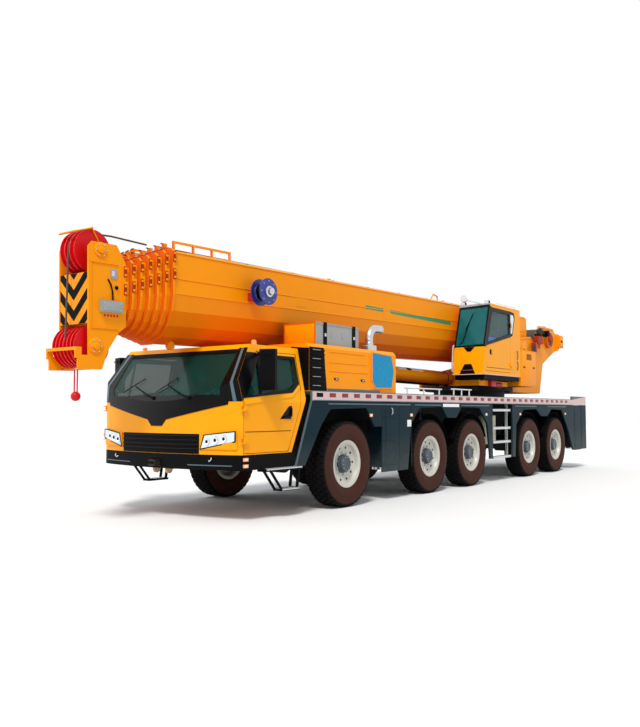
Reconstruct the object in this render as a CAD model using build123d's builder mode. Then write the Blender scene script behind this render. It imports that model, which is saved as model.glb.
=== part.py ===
from build123d import *
import os
from math import atan2, cos, degrees, hypot, radians, sin

# A five-axle all-terrain mobile crane of the 200 t class, stowed for the road.
# +X points to the front, +Y to the vehicle's left, +Z up, in millimetres. The origin is on the
# ground under the middle of the machine's overall length.

os.makedirs("parts", exist_ok=True)

# ---------------------------------------------------------------- driving dimensions
CLEAR = 5.0  # gap round a piece that moves
SEAT = 0.4  # gap at a pad, pin or shaft that carries the next piece

# carrier
FRONT_AXLE_X = 3714.6
AXLE_GAPS = (2710.0, 1735.0, 3040.0, 1730.0)
HALF_WIDTH = 1470.0
FRAME_HALF_W = 450.0
FRAME_Z = 950.0  # underside of the box girder
DECK_Z = 1790.0  # underside of the deck plate, which is the girder's top
DECK_T = 30.0
EDGE_H = 110.0  # height of the deck's edge rail below the plate
PANEL_T = 40.0  # side panels and edge rail
DECK_FRONT = FRONT_AXLE_X + 950.0
DECK_REAR = FRONT_AXLE_X - 11500.0
DECK_TOP = DECK_Z + DECK_T

# wheels
TYRE_R = 683.0
TYRE_W = 385.0
BEAD_R = 330.0
BEAD_HALF = 150.0
FLANGE_R = 372.0
FLANGE_T = 14.0
BARREL_T = 14.0
HUB_R = 140.0
HUB_HOLES = 10
SPINDLE_R = 50.0
KINGPIN_R = 30.0
KINGPIN_INSET = 100.0  # kingpin, inboard of the wheel's middle plane
WHEEL_Y = HALF_WIDTH - TYRE_W / 2
BEAM_W = 120.0
BEAM_H = 160.0
EYE_R = 55.0
EYE_H = 140.0
DIFF_R = 200.0
STRUT_R = 60.0
STRUT_Y = 380.0

# outriggers: one box tube across the carrier at each end, with a left and a right beam in it
FRONT_BOX_X = FRONT_AXLE_X - 1430.0
REAR_BOX_X = FRONT_AXLE_X - 10950.0
BOX_HALF_W = 350.0
BOX_H = 400.0
BOX_END_Y = HALF_WIDTH - 380.0
BEAM_OFFSET = 150.0  # of each beam's middle from the box tube's middle
ARM_W = 230.0
ARM_H = 300.0
ARM_FLOOR = FRAME_Z + 40.0
JACK_Y = HALF_WIDTH - 195.0
JACK_R = 85.0
FOOT_R = 170.0
FOOT_Z = 520.0
FOOT_T = 40.0
HOUSING_TOP = DECK_Z - EDGE_H - 20.0
COVER_W = 560.0
COVER_Z = 490.0

# carrier cab
CAB_HALF_W = HALF_WIDTH - 40.0
CAB_WALL = 60.0
CAB_FLOOR_Z = 925.0
CAB_NOSE_X = FRONT_AXLE_X + 2700.0
CAB_BACK_X = FRONT_AXLE_X + 1050.0
CAB_ROOF_Z = 2460.0
FRONT_BOW = 190.0  # how far the nose's middle stands ahead of its corners
DOOR_HINGE_X = FRONT_AXLE_X + 2440.0
DOOR_HINGE_Y = CAB_HALF_W + 20.0
DOOR_GAP = 8.0
DOOR_REAR_GAP = 16.0  # a door's closing edge swings past its pillar
HINGE_R = 8.0
HINGE_EYE_R = 17.0
HINGE_EYE_H = 60.0
BUMPER_Z = 715.0
STEP_Y = HALF_WIDTH - 80.0  # middle of the steps below each door
STEP_W = 160.0
STEP_LENGTH = 830.0
LOW_STEP_LENGTH = 410.0
LOW_STEP_Z = 400.0
LEG_W = 36.0
LEG_T = 30.0
STEP_LEGS = (  # X of each leg's head and foot, from the front axle
    (1245.0, 1290.0),
    (1890.0, 1630.0),
)

# engine hood, aftertreatment and exhaust
HOOD_FRONT = FRONT_AXLE_X + 1000.0
HOOD_LENGTH = 2500.0
HOOD_TOP = 2550.0
HOOD_SIDE = HALF_WIDTH - 30.0
HOOD_BEVEL = 60.0
HOOD_IN_Y = 640.0
HOOD_MID_TOP = 2140.0
HOOD_WALL = 30.0
ENGINE_X = (FRONT_AXLE_X - 980.0, FRONT_AXLE_X + 600.0)
ENGINE_HALF_W = 380.0
ENGINE_Z = (1130.0, 2090.0)
LOCKER_TOP = 2910.0
LOCKER_X = FRONT_AXLE_X + 25.0
LOCKER_Y = HOOD_SIDE - 480.0
LOCKER_LENGTH = 1190.0
LOCKER_W = 640.0
STACK_R = 75.0
STACK_X = FRONT_AXLE_X - 1230.0
STACK_Y = HOOD_SIDE - 380.0
STACK_Z = 2980.0  # middle of the exhaust's level end
STACK_BEND = 200.0

# superstructure
SLEW_X = FRONT_AXLE_X - 7300.0
RING_R = 850.0
RING_Z = 1930.0  # top of the carrier's pedestal, where the bearing starts
RING_T = 60.0
BASE_Z = RING_Z + RING_T + SEAT  # underside of the turning half
BASE_T = 110.0
CHEEK_IN_Y = 610.0
CHEEK_T = 60.0
PIVOT_X = FRONT_AXLE_X - 9200.0
PIVOT_Z = 3150.0
PIVOT_R = 70.0
OP_FRONT = FRONT_AXLE_X - 5150.0
OP_BACK = FRONT_AXLE_X - 7100.0
OP_Y = (640.0, 1420.0)
OP_Z = (2300.0, 3860.0)
OP_WALL = 50.0

# boom, in its own frame: pivot at the origin, boom along +X
BOOM_TILT = 1.2  # nose down on its rest, degrees
SECTIONS = 7
BOOM_HALF_W = 550.0
BOOM_TOP = 855.0
BOOM_FLOOR = -425.0
BOOM_WALL = 12.0
BOOM_CHAMFER = 50.0
STEP_SIDE = 40.0  # each section is narrower than the last by this on each side
STEP_TOP = 45.0
STEP_FLOOR = 30.0
BASE_REAR = -450.0
BASE_FRONT = 12140.0
COLLAR_PITCH = 110.0
COLLAR_T = 34.0
COLLAR_LIP = 26.0
TAIL_GAP = 60.0  # between the tails of two nested sections
PAD_T = 60.0
HEAD_T = 25.0

# luffing cylinder, from the turntable to the boom's underside
CYL_X = FRONT_AXLE_X - 6300.0
CYL_Z = 2270.0
EYE_BOOM_X = 8000.0  # rod eye, in the boom's frame
EYE_BOOM_Z = -650.0
CYL_R = 160.0
ROD_R = 110.0
CYL_PIN_R = 50.0
CYL_EYE_R = 110.0
CYL_EYE_W = 230.0

SIDES = (("left", 1), ("right", -1))
AXLE_X = [FRONT_AXLE_X - sum(AXLE_GAPS[:i]) for i in range(len(AXLE_GAPS) + 1)]
STEERED = (1, 2, 4, 5)
KINGPIN_Y = WHEEL_Y - KINGPIN_INSET
BOOM_PLACE = Location((PIVOT_X, 0, PIVOT_Z), (0, BOOM_TILT, 0))
TILT = radians(BOOM_TILT)
ROD_EYE = (
    PIVOT_X + EYE_BOOM_X * cos(TILT) + EYE_BOOM_Z * sin(TILT),
    PIVOT_Z - EYE_BOOM_X * sin(TILT) + EYE_BOOM_Z * cos(TILT),
)
CYL_LENGTH = hypot(ROD_EYE[0] - CYL_X, ROD_EYE[1] - CYL_Z)
CYL_ANGLE = degrees(atan2(ROD_EYE[1] - CYL_Z, ROD_EYE[0] - CYL_X))
CYL_PLACE = Location((CYL_X, 0, CYL_Z), (0, -CYL_ANGLE, 0))
# ---------------------------------------------------------------- end of the dimensions


def save(part, name, place=None):
    """Labels a finished piece, puts it in its place and writes its file."""
    piece = part if place is None else part.moved(place)
    piece.label = name
    export_step(piece, f"parts/{name}.step")


def side_plane(y):
    """A plane to draw on in X and Z, at that Y, facing +Y when extruded by a negative amount."""
    return Plane(origin=(0, y, 0), x_dir=(1, 0, 0), z_dir=(0, -1, 0))


# ---------------------------------------------------------------- wheels
with BuildPart() as tyre:
    with BuildSketch(Plane.YZ):
        with BuildLine():
            for side in (1, -1):
                bead = (side * BEAD_HALF, FLANGE_R + 4)
                shoulder = (side * (TYRE_W / 2 - 14), TYRE_R - 45)
                Line((side * BEAD_HALF, BEAD_R), bead)
                ThreePointArc(bead, (side * TYRE_W / 2, TYRE_R - 180), shoulder)
                Line(shoulder, (side * (TYRE_W / 2 - 40), TYRE_R))
            Line((TYRE_W / 2 - 40, TYRE_R), (-TYRE_W / 2 + 40, TYRE_R))
            Line((BEAD_HALF, BEAD_R), (-BEAD_HALF, BEAD_R))
        make_face()
    revolve(axis=Axis.Y)

SEAT_R = BEAD_R - SEAT
BARREL_R = SEAT_R - BARREL_T
LIP_Y = BEAD_HALF + SEAT
RIM_SECTION = (  # in Y and Z above the axle
    (-LIP_Y, SEAT_R), (-LIP_Y, FLANGE_R), (-LIP_Y - FLANGE_T, FLANGE_R),
    (-LIP_Y - FLANGE_T, BARREL_R), (72, BARREL_R), (46, HUB_R + 70), (46, HUB_R), (20, HUB_R),
    (20, SPINDLE_R + SEAT), (100, SPINDLE_R + SEAT), (100, 0), (LIP_Y + 6, 0),
    (LIP_Y + 6, HUB_R - 40), (LIP_Y - 16, HUB_R), (64, HUB_R), (64, HUB_R + 66), (92, BARREL_R),
    (LIP_Y + FLANGE_T, BARREL_R), (LIP_Y + FLANGE_T, FLANGE_R), (LIP_Y, FLANGE_R),
    (LIP_Y, SEAT_R),
)

with BuildPart() as rim:
    with BuildSketch(Plane.YZ):
        with BuildLine():
            Polyline(*RIM_SECTION, close=True)
        make_face()
    revolve(axis=Axis.Y)
    with BuildSketch(Plane.XZ.offset(-120)):
        with PolarLocations(HUB_R + 118, HUB_HOLES):
            Circle(20)
    extrude(amount=90, mode=Mode.SUBTRACT)
    with BuildSketch(Plane.XZ.offset(-64)):
        with PolarLocations(HUB_R + 32, HUB_HOLES, start_angle=18):
            RegularPolygon(14, 6)
    extrude(amount=-20)

for number, x in enumerate(AXLE_X, start=1):
    for side, sign in SIDES:
        wheel = Compound([tyre.part, rim.part])
        if sign < 0:
            wheel = wheel.mirror(Plane.XZ)
        save(wheel, f"wheel_{number}_{side}", Location((x, sign * WHEEL_Y, TYRE_R)))

# ---------------------------------------------------------------- knuckles and axles
ARM_T = 40.0
UPRIGHT_Y = (-25.0, 5.0)  # from the wheel's middle plane

with BuildPart() as knuckle:
    for low in (-EYE_H / 2 - SEAT - ARM_T, EYE_H / 2 + SEAT):
        with BuildSketch(Plane.XY.offset(low)):
            with Locations((0, -KINGPIN_INSET)):
                Circle(EYE_R)
            with Locations((0, (UPRIGHT_Y[0] - KINGPIN_INSET) / 2)):
                Rectangle(2 * EYE_R, UPRIGHT_Y[0] + KINGPIN_INSET)
        extrude(amount=ARM_T)
    with Locations((0, (UPRIGHT_Y[0] + UPRIGHT_Y[1]) / 2, 0)):
        Box(2 * EYE_R, UPRIGHT_Y[1] - UPRIGHT_Y[0], EYE_H + 2 * (ARM_T + SEAT))
    with Locations((0, -KINGPIN_INSET, 0)):
        Cylinder(KINGPIN_R, EYE_H + 2 * (ARM_T + SEAT))
    with BuildSketch(Plane.XZ.offset(-UPRIGHT_Y[1])):
        Circle(SPINDLE_R)
    extrude(amount=-(92 - UPRIGHT_Y[1]))
    with BuildSketch(Plane.XZ.offset(-UPRIGHT_Y[0])):
        Circle(210)
    extrude(amount=-(UPRIGHT_Y[1] - UPRIGHT_Y[0] + 5))

for number in STEERED:
    for side, sign in SIDES:
        piece = knuckle.part if sign > 0 else knuckle.part.mirror(Plane.XZ)
        place = Location((AXLE_X[number - 1], sign * WHEEL_Y, TYRE_R))
        save(piece, f"knuckle_{number}_{side}", place)

with BuildPart() as axles:
    for number, x in enumerate(AXLE_X, start=1):
        steered = number in STEERED
        reach = KINGPIN_Y if steered else WHEEL_Y + UPRIGHT_Y[0]
        with Locations((x, 0, TYRE_R)):
            Box(BEAM_W, 2 * (reach - EYE_R * steered * 0.5), BEAM_H * 0.8)
            Cylinder(DIFF_R, 320, rotation=(90, 0, 0))
            Cylinder(DIFF_R - 60, 620, rotation=(90, 0, 0))
        for sign in (1, -1):
            with Locations((x, sign * STRUT_Y, (TYRE_R + FRAME_Z) / 2)):
                Cylinder(STRUT_R, FRAME_Z - TYRE_R)
            if steered:
                with Locations((x, sign * KINGPIN_Y, TYRE_R)):
                    Cylinder(EYE_R, EYE_H)
                    Cylinder(KINGPIN_R + SEAT, EYE_H, mode=Mode.SUBTRACT)
            else:
                with Locations((x, sign * (WHEEL_Y + UPRIGHT_Y[0] + 15), TYRE_R)):
                    Cylinder(210, 30, rotation=(90, 0, 0))
                with Locations((x, sign * (WHEEL_Y + 92 / 2), TYRE_R)):
                    Cylinder(SPINDLE_R, 92, rotation=(90, 0, 0))
save(axles.part, "axles")

# ---------------------------------------------------------------- carrier frame
FRAME_FRONT = DECK_FRONT
FRAME_REAR = DECK_REAR + PANEL_T
NOSE_FRAME_X = (FRONT_AXLE_X + 300.0, FRONT_AXLE_X + 2400.0)
NOSE_FRAME_Z = 740.0
JAW_X = CAB_NOSE_X + 40.0
JAW_Z = 790.0
JAW_R = 21.0
REST_X = FRONT_AXLE_X + 830.0  # boom rest, behind the cab
REST_T = 160.0
REST_HALF_Y = 90.0
REST_TOP = PIVOT_Z - (REST_X - PIVOT_X) * sin(TILT) + (BOOM_FLOOR + 10) * cos(TILT)

with BuildPart() as carrier_frame:
    with Locations(((FRAME_FRONT + FRAME_REAR) / 2, 0, (FRAME_Z + DECK_Z) / 2)):
        Box(FRAME_FRONT - FRAME_REAR, 2 * FRAME_HALF_W, DECK_Z - FRAME_Z)
    for x in (FRONT_BOX_X, REAR_BOX_X):
        with Locations((x, 0, FRAME_Z + BOX_H / 2)):
            Box(2 * BOX_HALF_W, 2 * BOX_END_Y, BOX_H)
    for x in (FRONT_AXLE_X - 5750, FRONT_AXLE_X - 6150):
        with Locations((x, 1100, 1110)):
            Cylinder(100, 620)
        with Locations((x, 700, 1110)):
            Box(60, 700, 120)
    # engine bay, open at the top
    with Locations((sum(ENGINE_X) / 2, 0, (ENGINE_Z[0] + DECK_Z) / 2)):
        Box(
            ENGINE_X[1] - ENGINE_X[0] + 40,
            2 * (ENGINE_HALF_W + 20),
            DECK_Z - ENGINE_Z[0],
            mode=Mode.SUBTRACT,
        )
    # pedestal and fixed half of the slewing bearing
    with Locations((SLEW_X, 0, (DECK_Z + RING_Z + RING_T) / 2)):
        Cylinder(RING_R, RING_Z + RING_T - DECK_Z)
    # outrigger tunnels
    for x in (FRONT_BOX_X, REAR_BOX_X):
        for offset in (BEAM_OFFSET, -BEAM_OFFSET):
            with Locations((x + offset, 0, ARM_FLOOR + (ARM_H + 2 * CLEAR) / 2)):
                Box(
                    ARM_W + 2 * CLEAR,
                    2 * BOX_END_Y,
                    ARM_H + 2 * CLEAR,
                    mode=Mode.SUBTRACT,
                )
save(carrier_frame.part, "carrier_frame")

# the low nose that carries the cab, with the towing jaw and two hooks
with BuildPart() as nose_frame:
    with Locations(((NOSE_FRAME_X[0] + FRAME_FRONT) / 2, 0, (NOSE_FRAME_Z + FRAME_Z) / 2)):
        Box(FRAME_FRONT - NOSE_FRAME_X[0], 2 * FRAME_HALF_W, FRAME_Z - NOSE_FRAME_Z)
    with Locations(((NOSE_FRAME_X[0] + NOSE_FRAME_X[1]) / 2, 0, (NOSE_FRAME_Z + CAB_FLOOR_Z) / 2)):
        Box(
            NOSE_FRAME_X[1] - NOSE_FRAME_X[0],
            2 * FRAME_HALF_W,
            CAB_FLOOR_Z - NOSE_FRAME_Z,
        )
    with Locations(((NOSE_FRAME_X[1] + JAW_X + 50) / 2, 0, JAW_Z)):
        Box(JAW_X + 50 - NOSE_FRAME_X[1], 130, 90)
    with Locations((JAW_X + 10, 0, JAW_Z)):
        Box(100, 140, 40, mode=Mode.SUBTRACT)
    with Locations((JAW_X, 0, JAW_Z)):
        Cylinder(JAW_R, 200, mode=Mode.SUBTRACT)
    for sign in (1, -1):
        with Locations((FRONT_AXLE_X + 2480, sign * 130, 722)):
            Box(180, 40, 60)
        with Locations((FRONT_AXLE_X + 2575, sign * 130, 690)):
            Cylinder(55, 40, rotation=(90, 0, 0))
save(nose_frame.part, "nose_frame")

# ---------------------------------------------------------------- outriggers
OUTRIGGERS = (("front", FRONT_BOX_X, 1), ("rear", REAR_BOX_X, 1))
HOUSING_Y = (BOX_END_Y + 15.0, HALF_WIDTH - 25.0)
HOUSING_BASE = FOOT_Z + FOOT_T + CLEAR

for end, box_x, lead in OUTRIGGERS:
    for side, sign in SIDES:
        arm_x = box_x + sign * lead * BEAM_OFFSET
        with BuildPart() as arm:
            inner_y = -BOX_END_Y + 40
            with Locations((arm_x, sign * (inner_y + HOUSING_Y[0]) / 2, ARM_FLOOR + SEAT + ARM_H / 2)):
                Box(ARM_W, HOUSING_Y[0] - inner_y, ARM_H)
            with Locations(
                (
                    arm_x,
                    sign * sum(HOUSING_Y) / 2,
                    (HOUSING_BASE + HOUSING_TOP) / 2,
                )
            ):
                Box(2 * JACK_R + 90, HOUSING_Y[1] - HOUSING_Y[0], HOUSING_TOP - HOUSING_BASE)
            with Locations((arm_x, sign * (HALF_WIDTH + HOUSING_Y[1]) / 2, (COVER_Z + HOUSING_TOP) / 2)):
                Box(COVER_W, HALF_WIDTH - HOUSING_Y[1], HOUSING_TOP - COVER_Z)
            with Locations((arm_x, sign * JACK_Y, (HOUSING_BASE + HOUSING_TOP - 30) / 2)):
                Cylinder(JACK_R, HOUSING_TOP - 30 - HOUSING_BASE, mode=Mode.SUBTRACT)
        save(arm.part, f"outrigger_beam_{end}_{side}")
        with BuildPart() as jack:
            with Locations((arm_x, sign * JACK_Y, (FOOT_Z + HOUSING_TOP - 40) / 2)):
                Cylinder(JACK_R - SEAT, HOUSING_TOP - 40 - FOOT_Z)
            with Locations((arm_x, sign * JACK_Y, FOOT_Z + FOOT_T / 2)):
                Cylinder(FOOT_R, FOOT_T)
        save(jack.part, f"outrigger_jack_{end}_{side}")

# ---------------------------------------------------------------- deck, edge rail and handrails
with BuildPart() as deck:
    middle = (DECK_FRONT + DECK_REAR) / 2
    length = DECK_FRONT - DECK_REAR
    with Locations((middle, 0, DECK_Z + DECK_T / 2)):
        Box(length, 2 * HALF_WIDTH, DECK_T)
    for sign in (1, -1):
        with Locations((middle, sign * (HALF_WIDTH - PANEL_T / 2), DECK_Z - EDGE_H / 2)):
            Box(length, PANEL_T, EDGE_H)
        with Locations((DECK_REAR + 530, sign * (HALF_WIDTH - 30), DECK_TOP + 45)):
            Box(1060, 60, 90)
    with Locations((SLEW_X, 0, DECK_Z + DECK_T / 2)):
        Cylinder(RING_R + 5, DECK_T, mode=Mode.SUBTRACT)
    with Locations((sum(ENGINE_X) / 2, 0, DECK_Z + DECK_T / 2)):
        Box(
            ENGINE_X[1] - ENGINE_X[0] + 40,
            2 * (ENGINE_HALF_W + 20),
            DECK_T,
            mode=Mode.SUBTRACT,
        )
    # boom rest behind the cab
    with Locations((REST_X, 0, (DECK_Z + 15 + REST_TOP - 120) / 2)):
        Box(REST_T, 420, REST_TOP - 120 - DECK_Z - 15)
    with BuildSketch(side_plane(-REST_HALF_Y)):
        with BuildLine():
            rise = REST_T / 2 * sin(TILT) / cos(TILT)
            Polyline(
                (REST_X - REST_T / 2, REST_TOP - 121),
                (REST_X + REST_T / 2, REST_TOP - 121),
                (REST_X + REST_T / 2, REST_TOP - rise - SEAT),
                (REST_X - REST_T / 2, REST_TOP + rise - SEAT),
                close=True,
            )
        make_face()
    extrude(amount=-2 * REST_HALF_Y)
save(deck.part, "deck")

RAIL_R = 14.0
RAILS = (  # folded handrails: from X, to X (from the front axle), Y, top Z
    (-2150.0, -3580.0, 1230.0, 1960.0),
    (-4000.0, -4900.0, 1230.0, 1978.0),
)
with BuildPart() as deck_rails:
    for start, end, y, top in RAILS:
        for sign in (1, -1):
            with Locations((FRONT_AXLE_X + (start + end) / 2, sign * y, top - RAIL_R)):
                Cylinder(RAIL_R, start - end, rotation=(0, 90, 0))
            for x in (start - 100, (start + end) / 2, end + 100):
                with Locations((FRONT_AXLE_X + x, sign * y, (DECK_TOP + top - RAIL_R) / 2)):
                    Cylinder(RAIL_R, top - RAIL_R - DECK_TOP)
save(deck_rails.part, "deck_rails")

TREADS = (520.0, 850.0, 1150.0, 1540.0)
LADDER_X = (FRONT_AXLE_X - 5480.0, FRONT_AXLE_X - 6420.0)
with BuildPart() as ladder:
    for sign in (1, -1):
        for z in TREADS:
            with Locations((sum(LADDER_X) / 2, sign * (HALF_WIDTH - 75), z)):
                Box(LADDER_X[0] - LADDER_X[1], 110, 45)
        for x in (LADDER_X[0] - 60, LADDER_X[1] + 60):
            with Locations((x, sign * (HALF_WIDTH - 100), (500 + DECK_Z) / 2)):
                Box(40, 50, DECK_Z - 500)
save(ladder.part, "access_ladder")

# ---------------------------------------------------------------- side panels with their wheel arches
PANEL_TOP = DECK_Z - EDGE_H
PANELS = (  # outlines in X from the front axle and Z, below the edge rail
    (
        (950, PANEL_TOP), (1330, 720), (1130, 720), (720, 1320), (490, 1550),
        (-520, 1570), (-760, 1260), (-1000, 1260), (-1000, 490), (-1850, 490), (-1980, 1290),
        (-2280, 1580), (-3140, 1600), (-3360, 1390), (-3740, 1390), (-3960, 1600),
        (-4780, 1590), (-5160, 1250), (-5300, 520), (-5420, 520), (-5420, PANEL_TOP),
    ),
    (
        (-6480, PANEL_TOP), (-6480, 500), (-6620, 500), (-6700, 1230), (-7110, 1550),
        (-7900, 1570), (-8220, 1400), (-8620, 1400), (-8900, 1570), (-9600, 1550),
        (-10090, 1030), (-10440, 500), (-11500, 500), (-11500, PANEL_TOP),
    ),
)

with BuildPart() as side_panels:
    for sign in (1, -1):
        outer = sign * HALF_WIDTH
        for outline in PANELS:
            with BuildSketch(side_plane(outer)):
                with BuildLine():
                    Polyline(*[(FRONT_AXLE_X + x, z) for x, z in outline], close=True)
                make_face()
            extrude(amount=sign * PANEL_T)
        for box_x in (FRONT_BOX_X, REAR_BOX_X):
            with Locations((box_x + sign * BEAM_OFFSET, sign * HALF_WIDTH, PANEL_TOP / 2)):
                Box(COVER_W + 16, 200, PANEL_TOP, mode=Mode.SUBTRACT)
    with Locations((DECK_REAR + PANEL_T / 2, 0, (530 + PANEL_TOP) / 2)):
        Box(PANEL_T, 2 * HALF_WIDTH, PANEL_TOP - 530)
    with Locations((DECK_REAR - 70, 0, 640)):
        Box(100, 2500, 130)
    for sign in (1, -1):
        with Locations((DECK_REAR - 30, sign * 700, 640)):
            Box(100, 120, 110)
        with Locations((DECK_REAR - 40, sign * 1260, 880)):
            Box(100, 330, 150)
save(side_panels.part, "side_panels")

# ---------------------------------------------------------------- carrier cab
def nose(grow=0.0, back=CAB_BACK_X):
    """Plan outline of the cab: straight back and sides, bowed nose, rounded corners."""
    half = CAB_HALF_W + grow
    corner = CAB_NOSE_X - FRONT_BOW + grow
    with BuildLine() as outline:
        Line((back - grow, -half), (corner - 60, -half))
        Line((corner - 60, -half), (corner, -half + 110))
        ThreePointArc((corner, -half + 110), (CAB_NOSE_X + grow, 0), (corner, half - 110))
        Line((corner, half - 110), (corner - 60, half))
        Line((corner - 60, half), (back - grow, half))
        Line((back - grow, half), (back - grow, -half))
    return outline


SILL_Z = 1680.0
WINDOW_TOP = 2360.0
PILLAR_X = (FRONT_AXLE_X + 1130.0, FRONT_AXLE_X + 2450.0)
DOOR_X = (FRONT_AXLE_X + 1130.0, DOOR_HINGE_X)
DOOR_Z = (CAB_FLOOR_Z + 15, 2370.0)
DOOR_T = 45.0
DOOR_HINGE_Z = (1120.0, 1560.0)
SCREEN_HALF = 1120.0
SCREEN_Z = (1730.0, 2330.0)
ROOF_LEAN = 560.0  # how far the roof's front edge stands behind the screen's base
LEAN_FROM_Z = 1650.0


def cab_block(inset, floor_z, roof_z):
    """The cab as a solid: the plan outline cut off by the leaning screen and sides."""
    with BuildPart() as block:
        with BuildSketch(Plane.XY.offset(floor_z)):
            with BuildLine():
                add(nose(-inset))
            make_face()
        extrude(amount=roof_z - floor_z)
        lean = hypot(ROOF_LEAN, CAB_ROOF_Z - LEAN_FROM_Z) / (CAB_ROOF_Z - LEAN_FROM_Z)
        top_x = CAB_NOSE_X - ROOF_LEAN - inset * lean
        low_x = CAB_NOSE_X - inset * lean
        with BuildSketch(side_plane(-CAB_HALF_W - 20)):
            with BuildLine():
                Polyline(
                    (low_x, LEAN_FROM_Z),
                    (top_x, CAB_ROOF_Z),
                    (top_x, CAB_ROOF_Z + 50),
                    (low_x + 500, CAB_ROOF_Z + 50),
                    (low_x + 500, LEAN_FROM_Z),
                    close=True,
                )
            make_face()
        extrude(amount=-2 * CAB_HALF_W - 40, mode=Mode.SUBTRACT)
        side_in = CAB_HALF_W - inset
        for sign in (1, -1):
            with BuildSketch(Plane.YZ.offset(CAB_BACK_X - 20)):
                with BuildLine():
                    Polyline(
                        (sign * side_in, LEAN_FROM_Z),
                        (sign * (side_in - 170), CAB_ROOF_Z),
                        (sign * (side_in - 170), CAB_ROOF_Z + 50),
                        (sign * (side_in + 200), CAB_ROOF_Z + 50),
                        (sign * (side_in + 200), LEAN_FROM_Z),
                        close=True,
                    )
                make_face()
            extrude(amount=CAB_NOSE_X - CAB_BACK_X + 100, mode=Mode.SUBTRACT)
        # rear lower corner, cut away round the front wheel
        with BuildSketch(side_plane(-CAB_HALF_W - 20)):
            with BuildLine():
                Polyline(
                    (FRONT_AXLE_X + 1400 + inset, floor_z),
                    (FRONT_AXLE_X + 1030 + inset, 1750),
                    (FRONT_AXLE_X + 900, 1750),
                    (FRONT_AXLE_X + 900, floor_z),
                    close=True,
                )
            make_face()
        extrude(amount=-2 * CAB_HALF_W - 40, mode=Mode.SUBTRACT)
    return block.part


def door_outline(gap, rear_gap):
    """Outline of the door opening in X and Z, drawn in by the gaps for the leaf."""
    return (
        (DOOR_X[0] + rear_gap, 1850.0),
        (DOOR_X[0] + 60 + rear_gap, 1560.0),
        (DOOR_X[0] + 345 + rear_gap, DOOR_Z[0] + gap),
        (DOOR_X[1] - gap, DOOR_Z[0] + gap),
        (DOOR_X[1] - gap, SILL_Z),
        (FRONT_AXLE_X + 2010 - gap, DOOR_Z[1] - gap),
        (DOOR_X[0] + rear_gap, DOOR_Z[1] - gap),
    )


WINDOW_OUTLINE = (
    (PILLAR_X[0] + 75, 1930.0),
    (PILLAR_X[0] + 250, 1815.0),
    (PILLAR_X[1] - 60, SILL_Z + 30),
    (FRONT_AXLE_X + 2015, WINDOW_TOP - 60),
    (PILLAR_X[0] + 75, WINDOW_TOP - 60),
)
CAB_OUTER = cab_block(0, CAB_FLOOR_Z + SEAT, CAB_ROOF_Z)
CAB_INNER = cab_block(CAB_WALL, CAB_FLOOR_Z + CAB_WALL, CAB_ROOF_Z - 50)
DOOR_SKIN = cab_block(DOOR_T, CAB_FLOOR_Z - 50, CAB_ROOF_Z + 100)


def side_prism(points, sign, reach, deep):
    """A prism through one flank of the machine, from outside in to the given Y."""
    with BuildPart() as prism:
        with BuildSketch(side_plane(sign * reach)):
            with BuildLine():
                Polyline(*points, close=True)
            make_face()
        extrude(amount=sign * (reach - deep))
    return prism.part


def hinge_pins(x, y, skin, levels, forward):
    """Fixed half of a door hinge: pins held between two ears that reach the given way in X."""
    side = 1 if y > 0 else -1
    outer = y + side * HINGE_EYE_R
    inner = skin - side * 10
    with BuildPart() as pins:
        for z in levels:
            with Locations((x, y, z)):
                Cylinder(HINGE_R, HINGE_EYE_H + 30)
            for end in (-1, 1):
                level = z + end * (HINGE_EYE_H / 2 + SEAT + 6)
                with Locations((x + forward * 26, (outer + inner) / 2, level)):
                    Box(48, abs(outer - inner), 12)
                with Locations((x - forward * 2, y, level)):
                    Box(16, 2 * HINGE_EYE_R, 12)
    return pins.part


def hinge_eyes(x, y, skin, levels, forward):
    """Moving half of a door hinge: eyes with an arm towards the leaf."""
    side = 1 if y > 0 else -1
    outer = y + side * HINGE_EYE_R
    inner = skin - side * 10
    with BuildPart() as eyes:
        for z in levels:
            with Locations((x, y, z)):
                Cylinder(HINGE_EYE_R, HINGE_EYE_H)
            with Locations((x + forward * 32, (outer + inner) / 2, z)):
                Box(44, abs(outer - inner), HINGE_EYE_H)
            with Locations((x + forward * 8, y, z)):
                Box(16, 2 * HINGE_EYE_R, HINGE_EYE_H)
            with Locations((x, y, z)):
                Cylinder(HINGE_R + SEAT, HINGE_EYE_H, mode=Mode.SUBTRACT)
    return eyes.part


TRIMS = (  # trims on the cab's nose: from Z, to Z, from Y, to Y, how far they stand proud
    (985.0, 1010.0, 0.0, 790.0, 14.0),
    (1045.0, 1070.0, 0.0, 790.0, 14.0),
    (1105.0, 1130.0, 0.0, 790.0, 14.0),
    (1165.0, 1190.0, 0.0, 790.0, 14.0),
    (1000.0, 1205.0, 830.0, CAB_HALF_W - 55, 18.0),
)
COWL = (  # half outline of the cowl under the windscreen, in Y and Z
    (CAB_HALF_W - 190, 1660.0), (CAB_HALF_W - 190, 1610.0), (190.0, 1400.0), (110.0, 1310.0),
)
TRIM_BACK = 20.0  # how deep the trims reach into the cab's front wall


def nose_ring(low, high, proud):
    """A band along the cab's nose, from inside its wall to the given distance outside."""
    with BuildPart() as ring:
        for grow, mode in ((proud, Mode.ADD), (-TRIM_BACK, Mode.SUBTRACT)):
            with BuildSketch(Plane.XY.offset(low)):
                with BuildLine():
                    add(nose(grow))
                make_face()
            extrude(amount=high - low, mode=mode)
        with Locations((CAB_BACK_X + 500, 0, low)):
            Box(1500, 4000, 4000, mode=Mode.SUBTRACT)
    return ring.part


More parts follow.
